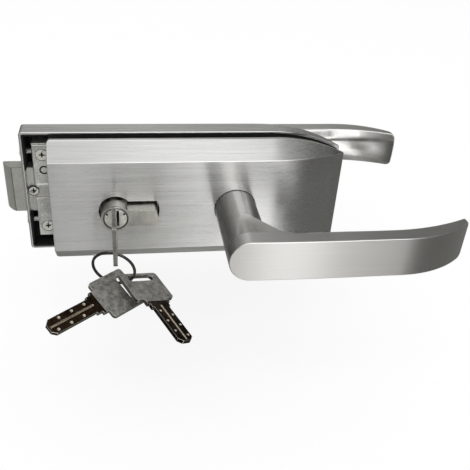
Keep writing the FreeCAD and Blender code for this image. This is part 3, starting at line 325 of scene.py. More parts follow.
def brushed(tree, tone, spacing, reach, rough, stretch, contrast):
    """Steel brushed along X with a belt: fine lines, which smear a highlight across themselves."""
    where = add(tree, "ShaderNodeTexCoord")
    fine = add(tree, "ShaderNodeMapping", {"Scale": (1 / reach, 1 / spacing, 1 / spacing)},
               {"Vector": where.outputs["Object"]})
    lines = add(tree, "ShaderNodeTexNoise", {"Scale": 1.0, "Detail": 4.0, "Roughness": 0.65},
                {"Vector": fine.outputs["Vector"]})
    tint = add(tree, "ShaderNodeMapRange", {"From Min": 0.25, "From Max": 0.75},
               {"Value": lines.outputs["Fac"]}, interpolation_type="SMOOTHSTEP")
    mix = add(tree, "ShaderNodeMix", {6: shade_of(tone, 1 - contrast), 7: shade_of(tone, 1 + contrast)},
              {0: tint.outputs["Result"]}, data_type="RGBA")
    gloss = add(tree, "ShaderNodeMapRange", {"From Min": 0.2, "From Max": 0.8, "To Min": rough - 0.02,
                                             "To Max": rough + 0.02}, {"Value": lines.outputs["Fac"]},
                interpolation_type="SMOOTHSTEP")
    bump = add(tree, "ShaderNodeBump", {"Strength": 0.12, "Distance": 0.05 * MM},
               {"Height": lines.outputs["Fac"]})
    shader = add(tree, "ShaderNodeBsdfPrincipled", {"Metallic": 1.0, "Anisotropic": stretch},
                 {"Base Color": mix.outputs[2], "Roughness": gloss.outputs["Result"],
                  "Normal": bump.outputs["Normal"], "Tangent": across_grain(tree)})
    return shader.outputs["BSDF"]


def gritty(tree, tone, grit, rough, contrast, depth, blotch=12 * MM, metal=1.0):
    """Metal with a cast, plated or tumbled skin: a fine grit in colour and height, and larger cloudy
    blotches. A dull skin scatters a share of the light, so its metal share is below one."""
    where = add(tree, "ShaderNodeTexCoord")
    grain = add(tree, "ShaderNodeTexNoise", {"Scale": 1 / grit, "Detail": 3.0, "Roughness": 0.6},
                {"Vector": where.outputs["Object"]})
    cloud = add(tree, "ShaderNodeTexNoise", {"Scale": 1 / blotch, "Detail": 3.0},
                {"Vector": where.outputs["Object"]})
    both = add(tree, "ShaderNodeMath", feeds={0: grain.outputs["Fac"], 1: cloud.outputs["Fac"]},
               operation="ADD")
    tint = add(tree, "ShaderNodeMapRange", {"From Min": 0.7, "From Max": 1.3},
               {"Value": both.outputs["Value"]}, interpolation_type="SMOOTHSTEP")
    mix = add(tree, "ShaderNodeMix", {6: shade_of(tone, 1 - contrast), 7: shade_of(tone, 1 + contrast)},
              {0: tint.outputs["Result"]}, data_type="RGBA")
    gloss = add(tree, "ShaderNodeMapRange", {"From Min": 0.2, "From Max": 0.8, "To Min": rough - 0.06,
                                             "To Max": rough + 0.06}, {"Value": cloud.outputs["Fac"]},
                interpolation_type="SMOOTHSTEP")
    bump = add(tree, "ShaderNodeBump", {"Strength": 0.35, "Distance": depth},
               {"Height": grain.outputs["Fac"]})
    shader = add(tree, "ShaderNodeBsdfPrincipled", {"Metallic": metal},
                 {"Base Color": mix.outputs[2], "Roughness": gloss.outputs["Result"],
                  "Normal": bump.outputs["Normal"]})
    return shader.outputs["BSDF"]


def brushed_steel(name, *finish):
    """Brushed stainless steel all over."""
    material, tree, output = new_material(name)
    tree.links.new(brushed(tree, *finish), output.inputs["Surface"])
    return material


def rough_metal(name, *finish):
    """Metal with a gritty skin all over."""
    material, tree, output = new_material(name)
    tree.links.new(gritty(tree, *finish), output.inputs["Surface"])
    return material


def blended_steel(name, bar, neck, depth):
    """A lever's steel: brushed along the bar, and turned on the neck, with a soft change between the two."""
    material, tree, output = new_material(name)
    where = add(tree, "ShaderNodeTexCoord")
    spot = add(tree, "ShaderNodeSeparateXYZ", feeds={"Vector": where.outputs["Object"]})
    aside = add(tree, "ShaderNodeMapRange", {"From Min": BLEND_FROM, "From Max": BLEND_TO},
                {"Value": spot.outputs["X"]}, interpolation_type="SMOOTHSTEP")
    away = add(tree, "ShaderNodeMath", feeds={0: spot.outputs["Y"]}, operation="ABSOLUTE")
    front = add(tree, "ShaderNodeMapRange", {"From Min": depth - 1.0 * MM, "From Max": depth},
                {"Value": away.outputs["Value"]})
    share = add(tree, "ShaderNodeMath", feeds={0: aside.outputs["Result"], 1: front.outputs["Result"]},
                operation="MAXIMUM")
    mix = add(tree, "ShaderNodeMixShader", feeds={0: share.outputs["Value"], 1: gritty(tree, *neck),
                                                  2: brushed(tree, *bar)})
    tree.links.new(mix.outputs["Shader"], output.inputs["Surface"])
    return material


def black_sheet(name, tone, grit, rough, depth):
    """Black rubber sheet or moulded nylon: dull, with a fine even grain."""
    material, tree, output = new_material(name)
    where = add(tree, "ShaderNodeTexCoord")
    grain = add(tree, "ShaderNodeTexNoise", {"Scale": 1 / grit, "Detail": 2.0},
                {"Vector": where.outputs["Object"]})
    mix = add(tree, "ShaderNodeMix", {6: shade_of(tone, 0.7), 7: shade_of(tone, 1.4)},
              {0: grain.outputs["Fac"]}, data_type="RGBA")
    bump = add(tree, "ShaderNodeBump", {"Strength": 0.3, "Distance": depth},
               {"Height": grain.outputs["Fac"]})
    shader = add(tree, "ShaderNodeBsdfPrincipled", {"Roughness": rough, "IOR": 1.5},
                 {"Base Color": mix.outputs[2], "Normal": bump.outputs["Normal"]})
    tree.links.new(shader.outputs["BSDF"], output.inputs["Surface"])
    return material


def made(name, maker, *finish):
    """The material of that name, made once."""
    return bpy.data.materials.get(name) or maker(name, *finish)


def nylon_and_gap_shade(colours):
    """Nylon, injection moulded: black with a faint soft gloss. Narrow strips of it also serve as painted
    shade, so that they look like a dark gap.
    """
    return made("nylon, moulded black", black_sheet, colours.black, 0.4 * MM, 0.45, 0.02 * MM)


def shaded_zinc(colours):
    """Painted shade: zinc coloured nearly black, so that recesses and rims look deep."""
    return made("zinc, shaded", rough_metal, colours.shade, 1.1 * MM, 0.5, 0.1, 0.03 * MM, 9 * MM)


def spring_steel(colours):
    """Spring steel, hardened and oiled: dark and smooth, with bright lines along the wire."""
    return made("spring steel, hardened", rough_metal, colours.ring, 0.8 * MM, 0.24, 0.1, 0.01 * MM, 5 * MM)


def painted_edge_highlight(colours, sizes):
    """Painted highlight: stainless steel in a brighter colour for rounded edges, so they look brighter than
    the flat sheet.
    """
    return made("stainless steel, polished edge", brushed_steel, colours.edge, sizes.grain, 45 * MM, 0.3,
                0.3, 0.02)


def buffed_steel(colours):
    """Stainless steel, turned or bent and then buffed: it mirrors more sharply than brushed sides."""
    return made("stainless steel, buffed", rough_metal, colours.lever, 1.4 * MM, 0.16, 0.03, 0.01 * MM,
                14 * MM)


def settings(context):
    """The scene's colours, sizes and light."""
    scene = context.scene
    return scene.lock_colours, scene.lock_sizes, scene.lock_stage


def dress(material, *nodes):
    """Gives carried-over CAD nodes a material."""
    for node in nodes:
        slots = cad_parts[node].data.materials
        slots.clear()
        slots.append(material)


def clean_copy(node):
    """A mesh in bmesh with the node's form, its triangles joined into flat faces."""
    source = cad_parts[node].data
    shape = bmesh.new()
    points = [shape.verts.new(point.co) for point in source.vertices]
    shape.verts.ensure_lookup_table()
    for face in source.polygons:
        corners = [points[i] for i in face.vertices]
        if shape.faces.get(corners) is None:
            shape.faces.new(corners)
    bmesh.ops.remove_doubles(shape, verts=shape.verts, dist=MERGE)
    bmesh.ops.dissolve_limit(shape, angle_limit=FLAT, verts=shape.verts, edges=shape.edges,
                             delimit=set())
    bmesh.ops.recalc_face_normals(shape, faces=shape.faces)
    return shape


def by_length(border):
    """Long straight edges get the whole rounding, and the short ones round holes get a small share."""
    return 1.0 if border.calc_length() > LONG_EDGE else SMALL_SHARE


def clear_of(holes, thin=None):
    """Edges away from holes, each given by its X and its reach, get the whole rounding, and those that a
    test calls thin get less."""
    def share(border):
        spot = (border.verts[0].co + border.verts[1].co) / 2
        if any(math.hypot(spot.x - x, spot.z) < reach for x, reach in holes):
            return SMALL_SHARE
        return TIP_SHARE if thin and thin(border, spot) else 1.0
    return share


def thin_edge(border, spot):
    """The upright edges at both ends of the covers, and the crease where it runs out at the tip."""
    way = border.verts[1].co - border.verts[0].co
    upright = abs(way.normalized().z) > UPRIGHT
    crease = spot.x > TIP_X and abs(spot.z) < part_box("front_cover")[1].z - CREASE_GAP
    return upright and (spot.x < END_X or spot.x > TIP_X) or crease


def new_object(shape, name):
    """An object in the scene with the bmesh's form."""
    mesh = bpy.data.meshes.new(name)
    shape.to_mesh(mesh)
    shape.free()
    piece = bpy.data.objects.new(name, mesh)
    bpy.context.scene.collection.objects.link(piece)
    return piece


def place(shape, name, body, materials, edge=0.0, replaced=(), slot=None, edge_slot=-1, share=by_length):
    """Makes the piece from its bmesh, smooths it, rounds its edges and sets it on its body."""
    shape.normal_update()
    for face in shape.faces:
        face.smooth = True
    weight = shape.edges.layers.float.new("bevel_weight_edge")
    for border in shape.edges:
        border.smooth = border.is_manifold and border.calc_face_angle(0) < SHARP
        if not border.smooth and border.is_convex:
            border[weight] = share(border)
    piece = new_object(shape, name)
    for material in materials:
        piece.data.materials.append(material)
    if edge:
        rounding = piece.modifiers.new("edges", "BEVEL")
        rounding.width = edge
        rounding.segments = 3
        rounding.limit_method = "WEIGHT"
        rounding.harden_normals = True
        rounding.use_clamp_overlap = False
        rounding.material = edge_slot
    if replaced:
        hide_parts(*replaced)
    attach(piece, body)
    return piece


def place_new(shape, *details, **more):
    """Turns the faces of a newly drawn bmesh outwards and places it."""
    bmesh.ops.recalc_face_normals(shape, faces=shape.faces)
    return place(shape, *details, **more)


def turns(count):
    """The angles of one full turn in equal steps."""
    return [2 * math.pi * i / count for i in range(count)]


def circle(count):
    """The ways out from the Y axis in equal steps of one full turn."""
    return [Vector((math.cos(t), 0, math.sin(t))) for t in turns(count)]


def prism(shape, points, normal, depth):
    """A prism from a flat outline, with its caps."""
    low = [shape.verts.new(p) for p in points]
    high = [shape.verts.new(p + normal * depth) for p in points]
    shape.faces.new(list(reversed(low)))
    shape.faces.new(high)
    count = len(points)
    for i in range(count):
        j = (i + 1) % count
        shape.faces.new((low[i], low[j], high[j], high[i]))


def ring_mark(shape, middle, radius, line):
    """A thin flat ring that faces the front, such as the painted shade in the gap round a screw's head."""
    rows = []
    for reach, depth in ((radius, 0), (radius + line, 0), (radius + line, MARK_PROUD), (radius, MARK_PROUD)):
        offset = middle + Vector((0, depth, 0))
        rows.append([shape.verts.new(offset + out * reach) for out in circle(MARK_STEPS)])
    for row, after in zip(rows, rows[1:] + rows[:1]):
        for i in range(MARK_STEPS):
            j = (i + 1) % MARK_STEPS
            shape.faces.new((row[i], row[j], after[j], after[i]))


def tube(shape, points, aside, up, closed=False):
    """A tube along points, its section an ellipse given by two vectors at each point."""
    rings = []
    for point, a, b in zip(points, aside, up):
        rings.append([shape.verts.new(point + a * math.cos(t) + b * math.sin(t))
                      for t in turns(TUBE_CORNERS)])
    pairs = list(zip(rings, rings[1:]))
    if closed:
        pairs.append((rings[-1], rings[0]))
    for first, second in pairs:
        for i in range(TUBE_CORNERS):
            j = (i + 1) % TUBE_CORNERS
            shape.faces.new((first[i], first[j], second[j], second[i]))
    if not closed:
        shape.faces.new(list(reversed(rings[0])))
        shape.faces.new(rings[-1])


def coil(shape, start, reach, radius, wire, pitch):
    """A coil of round wire along X."""
    half = wire / 2
    steps = max(3, round(reach / pitch)) * COIL_STEPS
    points = []
    aside = []
    for i in range(steps + 1):
        turn = 2 * math.pi * i / COIL_STEPS
        out = Vector((0, math.cos(turn), math.sin(turn)))
        points.append(start + Vector((half + (reach - wire) * i / steps, 0, 0)) + out * radius)
        aside.append(out * half)
    tube(shape, points, aside, [Vector((half, 0, 0))] * len(points))


class LOCK_OT_covers(Operator):
    """Makes the two brushed covers with rounded edges in a painted highlight, and painted shade in the gaps
    round the levers' necks.
    """
    bl_idname = "lock.covers"
    bl_label = "Covers"

    def execute(self, context):
        colours, sizes, _ = settings(context)
        # Stainless steel sheet, belt-brushed along its length: lines as fine as a hair, drawn at 0.7 mm.
        # They smear reflections up and down. The crease and rims get a brighter colour: a painted highlight.
        steel = made("stainless steel, brushed along its length", brushed_steel, colours.steel, sizes.grain,
                     45 * MM, 0.28, 1.0, 0.1)
        finish = [steel, painted_edge_highlight(colours, sizes)]
        for node in ("front_cover", "rear_cover"):
            place(clean_copy(node), node + "_brushed", "housing", finish, sizes.cover_edge, [node], "cover",
                  1, clear_of(COVER_HOLES, thin_edge))
        # Painted shade: a narrow dark ring where the gap between each neck and its cover lies.
        shape = bmesh.new()
        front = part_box("front_cover")[0].y - MARK_PROUD
        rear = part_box("rear_cover")[1].y
        ring_mark(shape, Vector((SPINDLE_X, front, 0)), NECK_R, NECK_GAP)
        ring_mark(shape, Vector((SPINDLE_X, rear, 0)), NECK_R, NECK_GAP)
        place_new(shape, "neck_gaps", "housing", [nylon_and_gap_shade(colours)])
        return {"FINISHED"}


class LOCK_OT_linings(Operator):
    """Gives the black linings, the liner and the nylon pieces their surface."""
    bl_idname = "lock.linings"
    bl_label = "Linings"

    def execute(self, context):
        colours, _, _ = settings(context)
        # Rubber sheet, cut flat: dull black with a fine grain that only shows where light grazes it.
        rubber = made("rubber sheet, matte black", black_sheet, colours.black, 0.6 * MM, 0.75, 0.04 * MM)
        dress(rubber, "front_lining", "rear_lining", "edge_liner")
        dress(nylon_and_gap_shade(colours), "clamp_sleeves", "neck_bushes")
        return {"FINISHED"}


class LOCK_OT_case(Operator):
    """Makes the cast lid with its ribs, its edges in a painted highlight and its mark in painted shade, and
    gives the case and inner pieces their surface.
    """
    bl_idname = "lock.case"
    bl_label = "Lock case"

    def execute(self, context):
        colours, sizes, _ = settings(context)
        # Zinc, die-cast and left as cast: light grey with a sandy speckle.
        zinc = made("zinc, die-cast", rough_metal, colours.zinc, 1.0 * MM, 0.42, 0.34, 0.12 * MM, 9 * MM,
                    0.8)
        # The same zinc on the rounded edges of the lid and its ribs: smoother, and brighter in colour as a
        # painted highlight.
        lid_edge_highlight = made("zinc, rubbed bright", rough_metal, colours.edge, 1.1 * MM, 0.3, 0.05, 0.03 * MM,
                      9 * MM)
        place(clean_copy("case_lid"), "case_lid_cast", "housing", [zinc, lid_edge_highlight], sizes.lid_edge,
              ["case_lid"], "case", 1)
        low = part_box("case_lid")[0]
        shape = bmesh.new()
        for bottom, top, right in LID_RIBS:
            corners = ((low.x + RIB_INSET, bottom), (right, bottom), (right, top), (low.x + RIB_INSET, top))
            points = [Vector((x, low.y - RIB_RISE, z)) for x, z in corners]
            prism(shape, points, Vector((0, 1, 0)), RIB_RISE + RIB_SINK)
        place_new(shape, "case_lid_ribs", "housing", [zinc, lid_edge_highlight], RIB_RISE / 2, edge_slot=1)
        # The round mark of the die's ejector pin, drawn as a dark ring: painted shade in its rim.
        shape = bmesh.new()
        ring_mark(shape, Vector((LID_MARK_X, low.y - MARK_PROUD, LID_MARK_Z)), LID_MARK_R, MARK_LINE)
        place_new(shape, "case_lid_marks", "housing", [shaded_zinc(colours)])
        dress(zinc, "lock_case")
        # Steel sheet, pressed and zinc plated: even grey, slightly cloudy.
        plated = made("steel, zinc plated", rough_metal, colours.screw, 0.9 * MM, 0.33, 0.08, 0.03 * MM,
                      10 * MM)
        dress(plated, "front_plate", "cam", "follower", "spindle", "lock_slide", "spring_rod")
        return {"FINISHED"}


class LOCK_OT_screws(Operator):
    """Gives the screws their plated surface, painted shade in their recesses and round their heads, and the
    end screws' threads.
    """
    bl_idname = "lock.screws"
    bl_label = "Screws"

    def execute(self, context):
        colours, _, _ = settings(context)
        # Steel, cold formed and zinc plated: bright heads and threads that glint.
        bright = made("steel screw, zinc plated", rough_metal, colours.plug, 0.7 * MM, 0.3, 0.06, 0.02 * MM,
                      6 * MM, 0.7)
        dress(bright, "end_screws", "clamp_bolts", "cover_screws", "cylinder_screw", "lever_screws")
        dark = shaded_zinc(colours)
        for node, body in (("lid_screws", "housing"), ("guide_screw", "latch")):
            shape = clean_copy(node)
            shape.normal_update()
            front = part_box(node)[0].y
            heads = []
            # Faces inside each head's recess get painted shade.
            for face in shape.faces:
                middle = face.calc_center_median()
                in_recess = front + HEAD_SKIN < middle.y < front + RECESS_DEPTH
                if in_recess and (abs(face.normal.y) < 0.3 or face.normal.y < -0.9):
                    face.material_index = 1
                elif middle.y < front + HEAD_SKIN:
                    heads.append((face.calc_center_bounds(), max(p.co.x for p in face.verts)))
            place(shape, node + "_plated", body, [bright, dark], 0, [node], "screw")
            # A dark ring round each head: painted shade in the gap round it.
            shape = bmesh.new()
            for middle, right in heads:
                spot = Vector((middle.x, front - MARK_PROUD, middle.z))
                ring_mark(shape, spot, right - middle.x, HEAD_LINE)
            place_new(shape, node + "_gaps", body, [dark])
        # Threads of the end screws, which glint in the black gap beside the latch.
        low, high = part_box("end_screws")
        shape = bmesh.new()
        for z in (low.z + END_HEAD_R, high.z - END_HEAD_R):
            start = Vector((low.x + COVER_WALL, (low.y + high.y) / 2, z))
            coil(shape, start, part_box("case_lid")[0].x - start.x, THREAD_R, THREAD_WIRE, THREAD_PITCH)
        place_new(shape, "end_screws_threads", "housing", [bright])
        return {"FINISHED"}


class LOCK_OT_latch(Operator):
    """Makes the latch bolt with rounded edges."""
    bl_idname = "lock.latch"
    bl_label = "Latch bolt"

    def execute(self, context):
        colours, sizes, _ = settings(context)
        # Sintered steel, tumbled: satin, slightly greenish grey with a cloudy skin.
        sintered = made("sintered steel, tumbled", rough_metal, colours.latch, 0.9 * MM, 0.36, 0.1,
                        0.04 * MM, 8 * MM, 0.9)
        # Its rounded edges get a darker grey: painted shade.
        film = made("sintered steel, grey film", rough_metal, colours.film, 0.9 * MM, 0.4, 0.1, 0.03 * MM,
                    8 * MM)
        place(clean_copy("latch_bolt"), "latch_bolt_satin", "latch", [sintered, film], 2 * sizes.small_edge,
              ["latch_bolt"], "latch", 1)
        return {"FINISHED"}


class LOCK_OT_cylinder(Operator):
    """Makes the cylinder and its plugs, with the marks, the painted shade of the gap and the lip on the front
    plug's face.
    """
    bl_idname = "lock.cylinder"
    bl_label = "Cylinder"

    def execute(self, context):
        colours, sizes, _ = settings(context)
        # Brass, drawn and matt nickel plated: warm grey with a sandy speckle.
        matt = made("brass, matt nickel plated", rough_metal, colours.nickel, 0.9 * MM, 0.38, 0.16,
                    0.05 * MM, 7 * MM)
        place(clean_copy("cylinder_body"), "cylinder_body_matt", "housing", [matt], sizes.small_edge,
              ["cylinder_body"], "cylinder")
        # Brass, turned and nickel plated: lighter and smoother than the body.
        turned = made("brass, turned and nickel plated", rough_metal, colours.plug, 0.6 * MM, 0.42, 0.2,
                      0.03 * MM, 3 * MM, 0.7)
        dress(turned, "front_plug", "rear_plug", "plug_ring")
        # Two small dark dots on the plug's face.
        dark = nylon_and_gap_shade(colours)
        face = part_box("front_plug")[0].y
        shape = bmesh.new()
        for side in (-1, 1):
            middle = Vector((CYLINDER_X + side * PIN_MARK_ASIDE, face - PIN_MARK_SINK, PIN_MARK_RISE))
            points = [middle + out * PIN_MARK_R for out in circle(PIN_MARK_STEPS)]
            prism(shape, points, Vector((0, 1, 0)), 2 * PIN_MARK_SINK)
        place_new(shape, "plug_marks", "plug", [dark])
        # Painted shade: a thin dark ring where the gap round the plug lies.
        middle = Vector((CYLINDER_X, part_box("cylinder_body")[0].y, 0))
        shape = bmesh.new()
        ring_mark(shape, middle - Vector((0, MARK_PROUD, 0)), PLUG_R, PLUG_LINE)
        place_new(shape, "plug_gap", "housing", [dark])
        # The turned lip round the gap, bright where it catches the light.
        shape = bmesh.new()
        outs = circle(LIP_STEPS)
        reach = PLUG_R + PLUG_LINE + PLUG_RIM
        tube(shape, [middle + out * reach for out in outs], [out * PLUG_RIM for out in outs],
             [Vector((0, PLUG_RIM, 0))] * len(outs), closed=True)
        place_new(shape, "plug_lip", "housing", [buffed_steel(colours)])
        return {"FINISHED"}


def slice_at(shape, spot, normal):
    """Adds edges where a plane crosses the mesh."""
    everything = list(shape.verts) + list(shape.edges) + list(shape.faces)
    bmesh.ops.bisect_plane(shape, geom=everything, dist=MERGE, plane_co=spot, plane_no=normal)


def ring_out(turn):
    """The way from the ring's middle to its wire at an angle."""
    return RING_SIDE * math.cos(turn) + RING_DOWN * math.sin(turn)


def key_matrix(degrees, shift, aside, across, along):
    """Where a key lies: its own X runs to the tip, its Y across the bow, its Z through the plate."""
    a = Vector(along).normalized()
    b = Vector(across).normalized()
    wire = RING_CENTRE + ring_out(math.radians(degrees)) * RING_R
    spot = wire + (b * shift + a * aside) * MM
    b = (b - a * a.dot(b)).normalized()
    matrix = Matrix((a, b, a.cross(b))).transposed().to_4x4()
    matrix.translation = spot
    return matrix


def key_cutters(matrix, sizes):
    """The milled groove and the coding dimples on both sides of a blade, as one cutting mesh."""
    shape = bmesh.new()
    half = GROOVE_W / 2
    start = BLADE_FROM - GROOVE_LEAD
    end = BLADE_FROM + BLADE_L * GROOVE_SHARE
    for side in (-1, 1):
        bottom = side * (KEY_T / 2 - GROOVE_SINK)
        corners = ((start, -half), (end, -half), (end, half), (start, half))
        prism(shape, [Vector((x, y, bottom)) for x, y in corners], Vector((0, 0, side)), KEY_T)
        top = side * (KEY_T / 2 + DIMPLE_RISE)
        low = side * (KEY_T / 2 - DIMPLE_SINK)
        for i in range(sizes.dimples):
            x = BLADE_FROM + DIMPLE_FROM + i * DIMPLE_STEP
            y = side * DIMPLE_ROW * (1 if i % 2 else -1)
            outs = [(math.cos(t), math.sin(t)) for t in turns(DIMPLE_CORNERS)]
            upper = [shape.verts.new((x + a * DIMPLE_R, y + b * DIMPLE_R, top)) for a, b in outs]
            inner = [shape.verts.new((x + a * DIMPLE_R / 2, y + b * DIMPLE_R / 2, low)) for a, b in outs]
            shape.faces.new(upper)
            shape.faces.new(list(reversed(inner)))
            for k in range(DIMPLE_CORNERS):
                n = (k + 1) % DIMPLE_CORNERS
                shape.faces.new((upper[k], inner[k], inner[n], upper[n]))
    bmesh.ops.recalc_face_normals(shape, faces=shape.faces)
    bmesh.ops.transform(shape, matrix=matrix, verts=shape.verts)
    return new_object(shape, "key_cutter")


class LOCK_OT_keys(Operator):
    """Makes the three keys with rounded edges, a milled groove and coding dimples."""
    bl_idname = "lock.keys"
    bl_label = "Keys"

    def execute(self, context):
        colours, sizes, _ = settings(context)
        # Nickel silver, stamped and tumbled: mottled matte grey.
        bow = made("nickel silver, tumbled", rough_metal, colours.key, 1.0 * MM, 0.5, 0.4, 0.12 * MM,
                   3 * MM, 0.9)
        # The same metal where it was milled: browner and smoother.
        blade = made("nickel silver, milled", rough_metal, colours.blade, 1.0 * MM, 0.3, 0.4, 0.06 * MM,
                     4 * MM)
        # Its stamped sides are smooth and coloured a darker grey, a painted shade, and their rounded corners
        # a lighter one, a painted highlight.
        side = made("nickel silver, stamped side", rough_metal, colours.film, 1.0 * MM, 0.3, 0.15,
                    0.02 * MM, 5 * MM)
        corner_highlight = made("nickel silver, rubbed corner", rough_metal, colours.plug, 1.0 * MM, 0.25, 0.1,
                   0.02 * MM, 5 * MM)
        # The groove and the dimples show the yellow metal under the plating.
        cut_metal = made("nickel silver, freshly cut", rough_metal, colours.track, 0.8 * MM, 0.25, 0.2,
                         0.02 * MM, 4 * MM)
        for node, (body, *hang) in KEYS.items():
            matrix = key_matrix(*hang)
            inverse = matrix.inverted()
            shape = clean_copy(node)
            slice_at(shape, matrix @ Vector((SHOULDER_FROM, 0, 0)), matrix.to_3x3() @ Vector((1, 0, 0)))
            shape.normal_update()
            plate = matrix.to_3x3() @ Vector((0, 0, 1))
            # Faces past the shoulder are the blade; the key's sides take the darker grey, a painted shade.
            for face in shape.faces:
                if (inverse @ face.calc_center_median()).x > SHOULDER_FROM:
                    face.material_index = 1
                elif abs(face.normal.dot(plate)) < 0.5:
                    face.material_index = 2
            piece = place(shape, node + "_cut", body, [bow, blade, side, corner_highlight, cut_metal], 0, [node], "key")
            cutter = key_cutters(matrix, sizes)
            cutter.data.materials.append(cut_metal)
            cut = piece.modifiers.new("groove and dimples", "BOOLEAN")
            cut.object = cutter
            cut.solver = "EXACT"
            cut.material_mode = "TRANSFER"
            # The rounding takes the lighter corner colour: a painted highlight.
            rounding = piece.modifiers.new("edges", "BEVEL")
            rounding.width = sizes.key_edge
            rounding.segments = 2
            rounding.limit_method = "ANGLE"
            rounding.angle_limit = SHARP
            rounding.harden_normals = True
            rounding.material = 3
            depsgraph = context.evaluated_depsgraph_get()
            finished = bpy.data.meshes.new_from_object(piece.evaluated_get(depsgraph))
            piece.modifiers.clear()
            piece.data = finished
            bpy.data.objects.remove(cutter)
        return {"FINISHED"}


class LOCK_OT_ring(Operator):
    """Makes the split key ring with its two turns of flat wire."""
    bl_idname = "lock.ring"
    bl_label = "Key ring"

    def execute(self, context):
        colours, sizes, _ = settings(context)
        axis = RING_SIDE.cross(RING_DOWN)
        wide = sizes.ring_wire / 2
        half = sizes.ring_turn / 2
        shape = bmesh.new()
        points = []
        aside = []
        up = []
        for i in range(2 * RING_STEPS + 1):
            share = i / RING_STEPS
            out = ring_out(2 * math.pi * share - RING_FROM)
            points.append(RING_CENTRE + out * RING_R + axis * (share - 1) * sizes.ring_turn)
            aside.append(out * wide)
            up.append(axis * half * RING_FILL)
        tube(shape, points, aside, up)
        place_new(shape, "key_ring_split", "ring", [spring_steel(colours)], 0, ["key_ring"], "ring")
        return {"FINISHED"}


class LOCK_OT_springs(Operator):
    """Makes the latch spring and the return spring as real coils."""
    bl_idname = "lock.springs"
    bl_label = "Springs"

    def execute(self, context):
        colours, sizes, _ = settings(context)
        for node in ("latch_spring", "return_spring"):
            low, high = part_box(node)
            start = Vector((low.x, (low.y + high.y) / 2, (low.z + high.z) / 2))
            radius = (high.z - low.z - sizes.coil_wire) / 2
            shape = bmesh.new()
            coil(shape, start, high.x - low.x, radius, sizes.coil_wire, sizes.coil_pitch)
            place_new(shape, node + "_coil", "housing", [spring_steel(colours)], 0, [node], "spring")
        return {"FINISHED"}


def crown(shape, outer, inward):
    """Lets a bar's flat face fall back slightly towards the neck, as polishing by hand leaves it."""
    start = SPINDLE_X - NECK_R
    for i in range(1, CROWN_STEPS + 1):
        slice_at(shape, Vector((start + (CROWN_X - start) * i / CROWN_STEPS, 0, 0)), Vector((1, 0, 0)))
    for point in shape.verts:
        if abs(point.co.y - outer) < CROWN_NEAR and point.co.x < CROWN_X:
            share = (CROWN_X - point.co.x) / (CROWN_X - start)
            point.co.y += inward * CROWN * share * share


class LOCK_OT_levers(Operator):
    """Makes the two levers with rounded edges, brushed bars and turned necks."""
    bl_idname = "lock.levers"
    bl_label = "Levers"

    def execute(self, context):
        colours, sizes, _ = settings(context)
        # Stainless steel, satin brushed along the bar: a long soft sheen that fades towards the bent end.
        # The neck is turned and blended by hand, so its gloss is even and its bands run along it.
        steel = made("stainless steel, satin brushed and turned", blended_steel,
                     (colours.lever, sizes.grain, 60 * MM, 0.33, 0.9, 0.03),
                     (colours.lever, 1.4 * MM, 0.18, 0.03, 0.01 * MM, 14 * MM), BAR_FACE)
        # The bar's rounded inner side is only buffed. Its rounded edges get a brighter colour: a painted
        # highlight.
        finish = [steel, painted_edge_highlight(colours, sizes), buffed_steel(colours)]
        for node, side, inward in (("front_lever", 0, 1), ("rear_lever", 1, -1)):
            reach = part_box(node)[side].y
            shape = clean_copy(node)
            crown(shape, reach, inward)
            shape.normal_update()
            for face in shape.faces:
                if face.normal.y * inward > 0.5 and face.calc_center_median().x > INNER_FROM:
                    face.material_index = 2
            place(shape, node + "_satin", "levers", finish, sizes.lever_edge, [node], "lever", 1,
                  clear_of(LEVER_HOLES))
        return {"FINISHED"}


def seen_by(tree, *rays):
    """One where any of these kinds of ray looks, and zero elsewhere."""
    path = add(tree, "ShaderNodeLightPath")
    seen = path.outputs[rays[0]]
    for ray in rays[1:]:
        seen = add(tree, "ShaderNodeMath", feeds={0: seen, 1: path.outputs[ray]},
                   operation="MAXIMUM").outputs["Value"]
    return seen


def make_floor(colours):
    """The pale floor under the lock."""
    level = CAD_BOX[0][2] - FLOOR_DROP
    half = FLOOR_HALF
    shape = bmesh.new()
    corners = ((-half, -half), (half, -half), (half, half), (-half, half))
    shape.faces.new([shape.verts.new((x, y, level)) for x, y in corners])
    floor = new_object(shape, "floor")
    floor.visible_glossy = False
    # Painted board, matte: shows the object's soft shadow and is white to the camera elsewhere.
    material, tree, output = new_material("floor board, painted matte")
    seen = seen_by(tree, "Is Camera Ray", "Is Transmission Ray")
    share = add(tree, "ShaderNodeMath", {1: FLOOR_GLOW}, {0: seen}, operation="MULTIPLY")
    paint = add(tree, "ShaderNodeBsdfDiffuse", {"Color": colours.floor})
    glow = add(tree, "ShaderNodeEmission", {"Color": (1, 1, 1, 1), "Strength": 1.0})
    mix = add(tree, "ShaderNodeMixShader", feeds={0: share.outputs["Value"], 1: paint.outputs["BSDF"],
                                                  2: glow.outputs["Emission"]})
    tree.links.new(mix.outputs["Shader"], output.inputs["Surface"])
    floor.data.materials.append(material)


def make_room(stage):
    """The room's even light, white to the camera and in mirrors."""
    world = bpy.data.worlds.new("studio room")
    world.use_nodes = True
    tree = world.node_tree
    tree.nodes.clear()
    seen = seen_by(tree, "Is Camera Ray", "Is Glossy Ray", "Is Transmission Ray")
    room = add(tree, "ShaderNodeBackground", {"Color": (1, 1, 1, 1), "Strength": stage.day})
    white = add(tree, "ShaderNodeBackground", {"Color": (1, 1, 1, 1), "Strength": 1.0})
    mix = add(tree, "ShaderNodeMixShader", feeds={0: seen, 1: room.outputs["Background"],
                                                  2: white.outputs["Background"]})
    output = add(tree, "ShaderNodeOutputWorld")
    tree.links.new(mix.outputs["Shader"], output.inputs["Surface"])
    bpy.context.scene.world = world


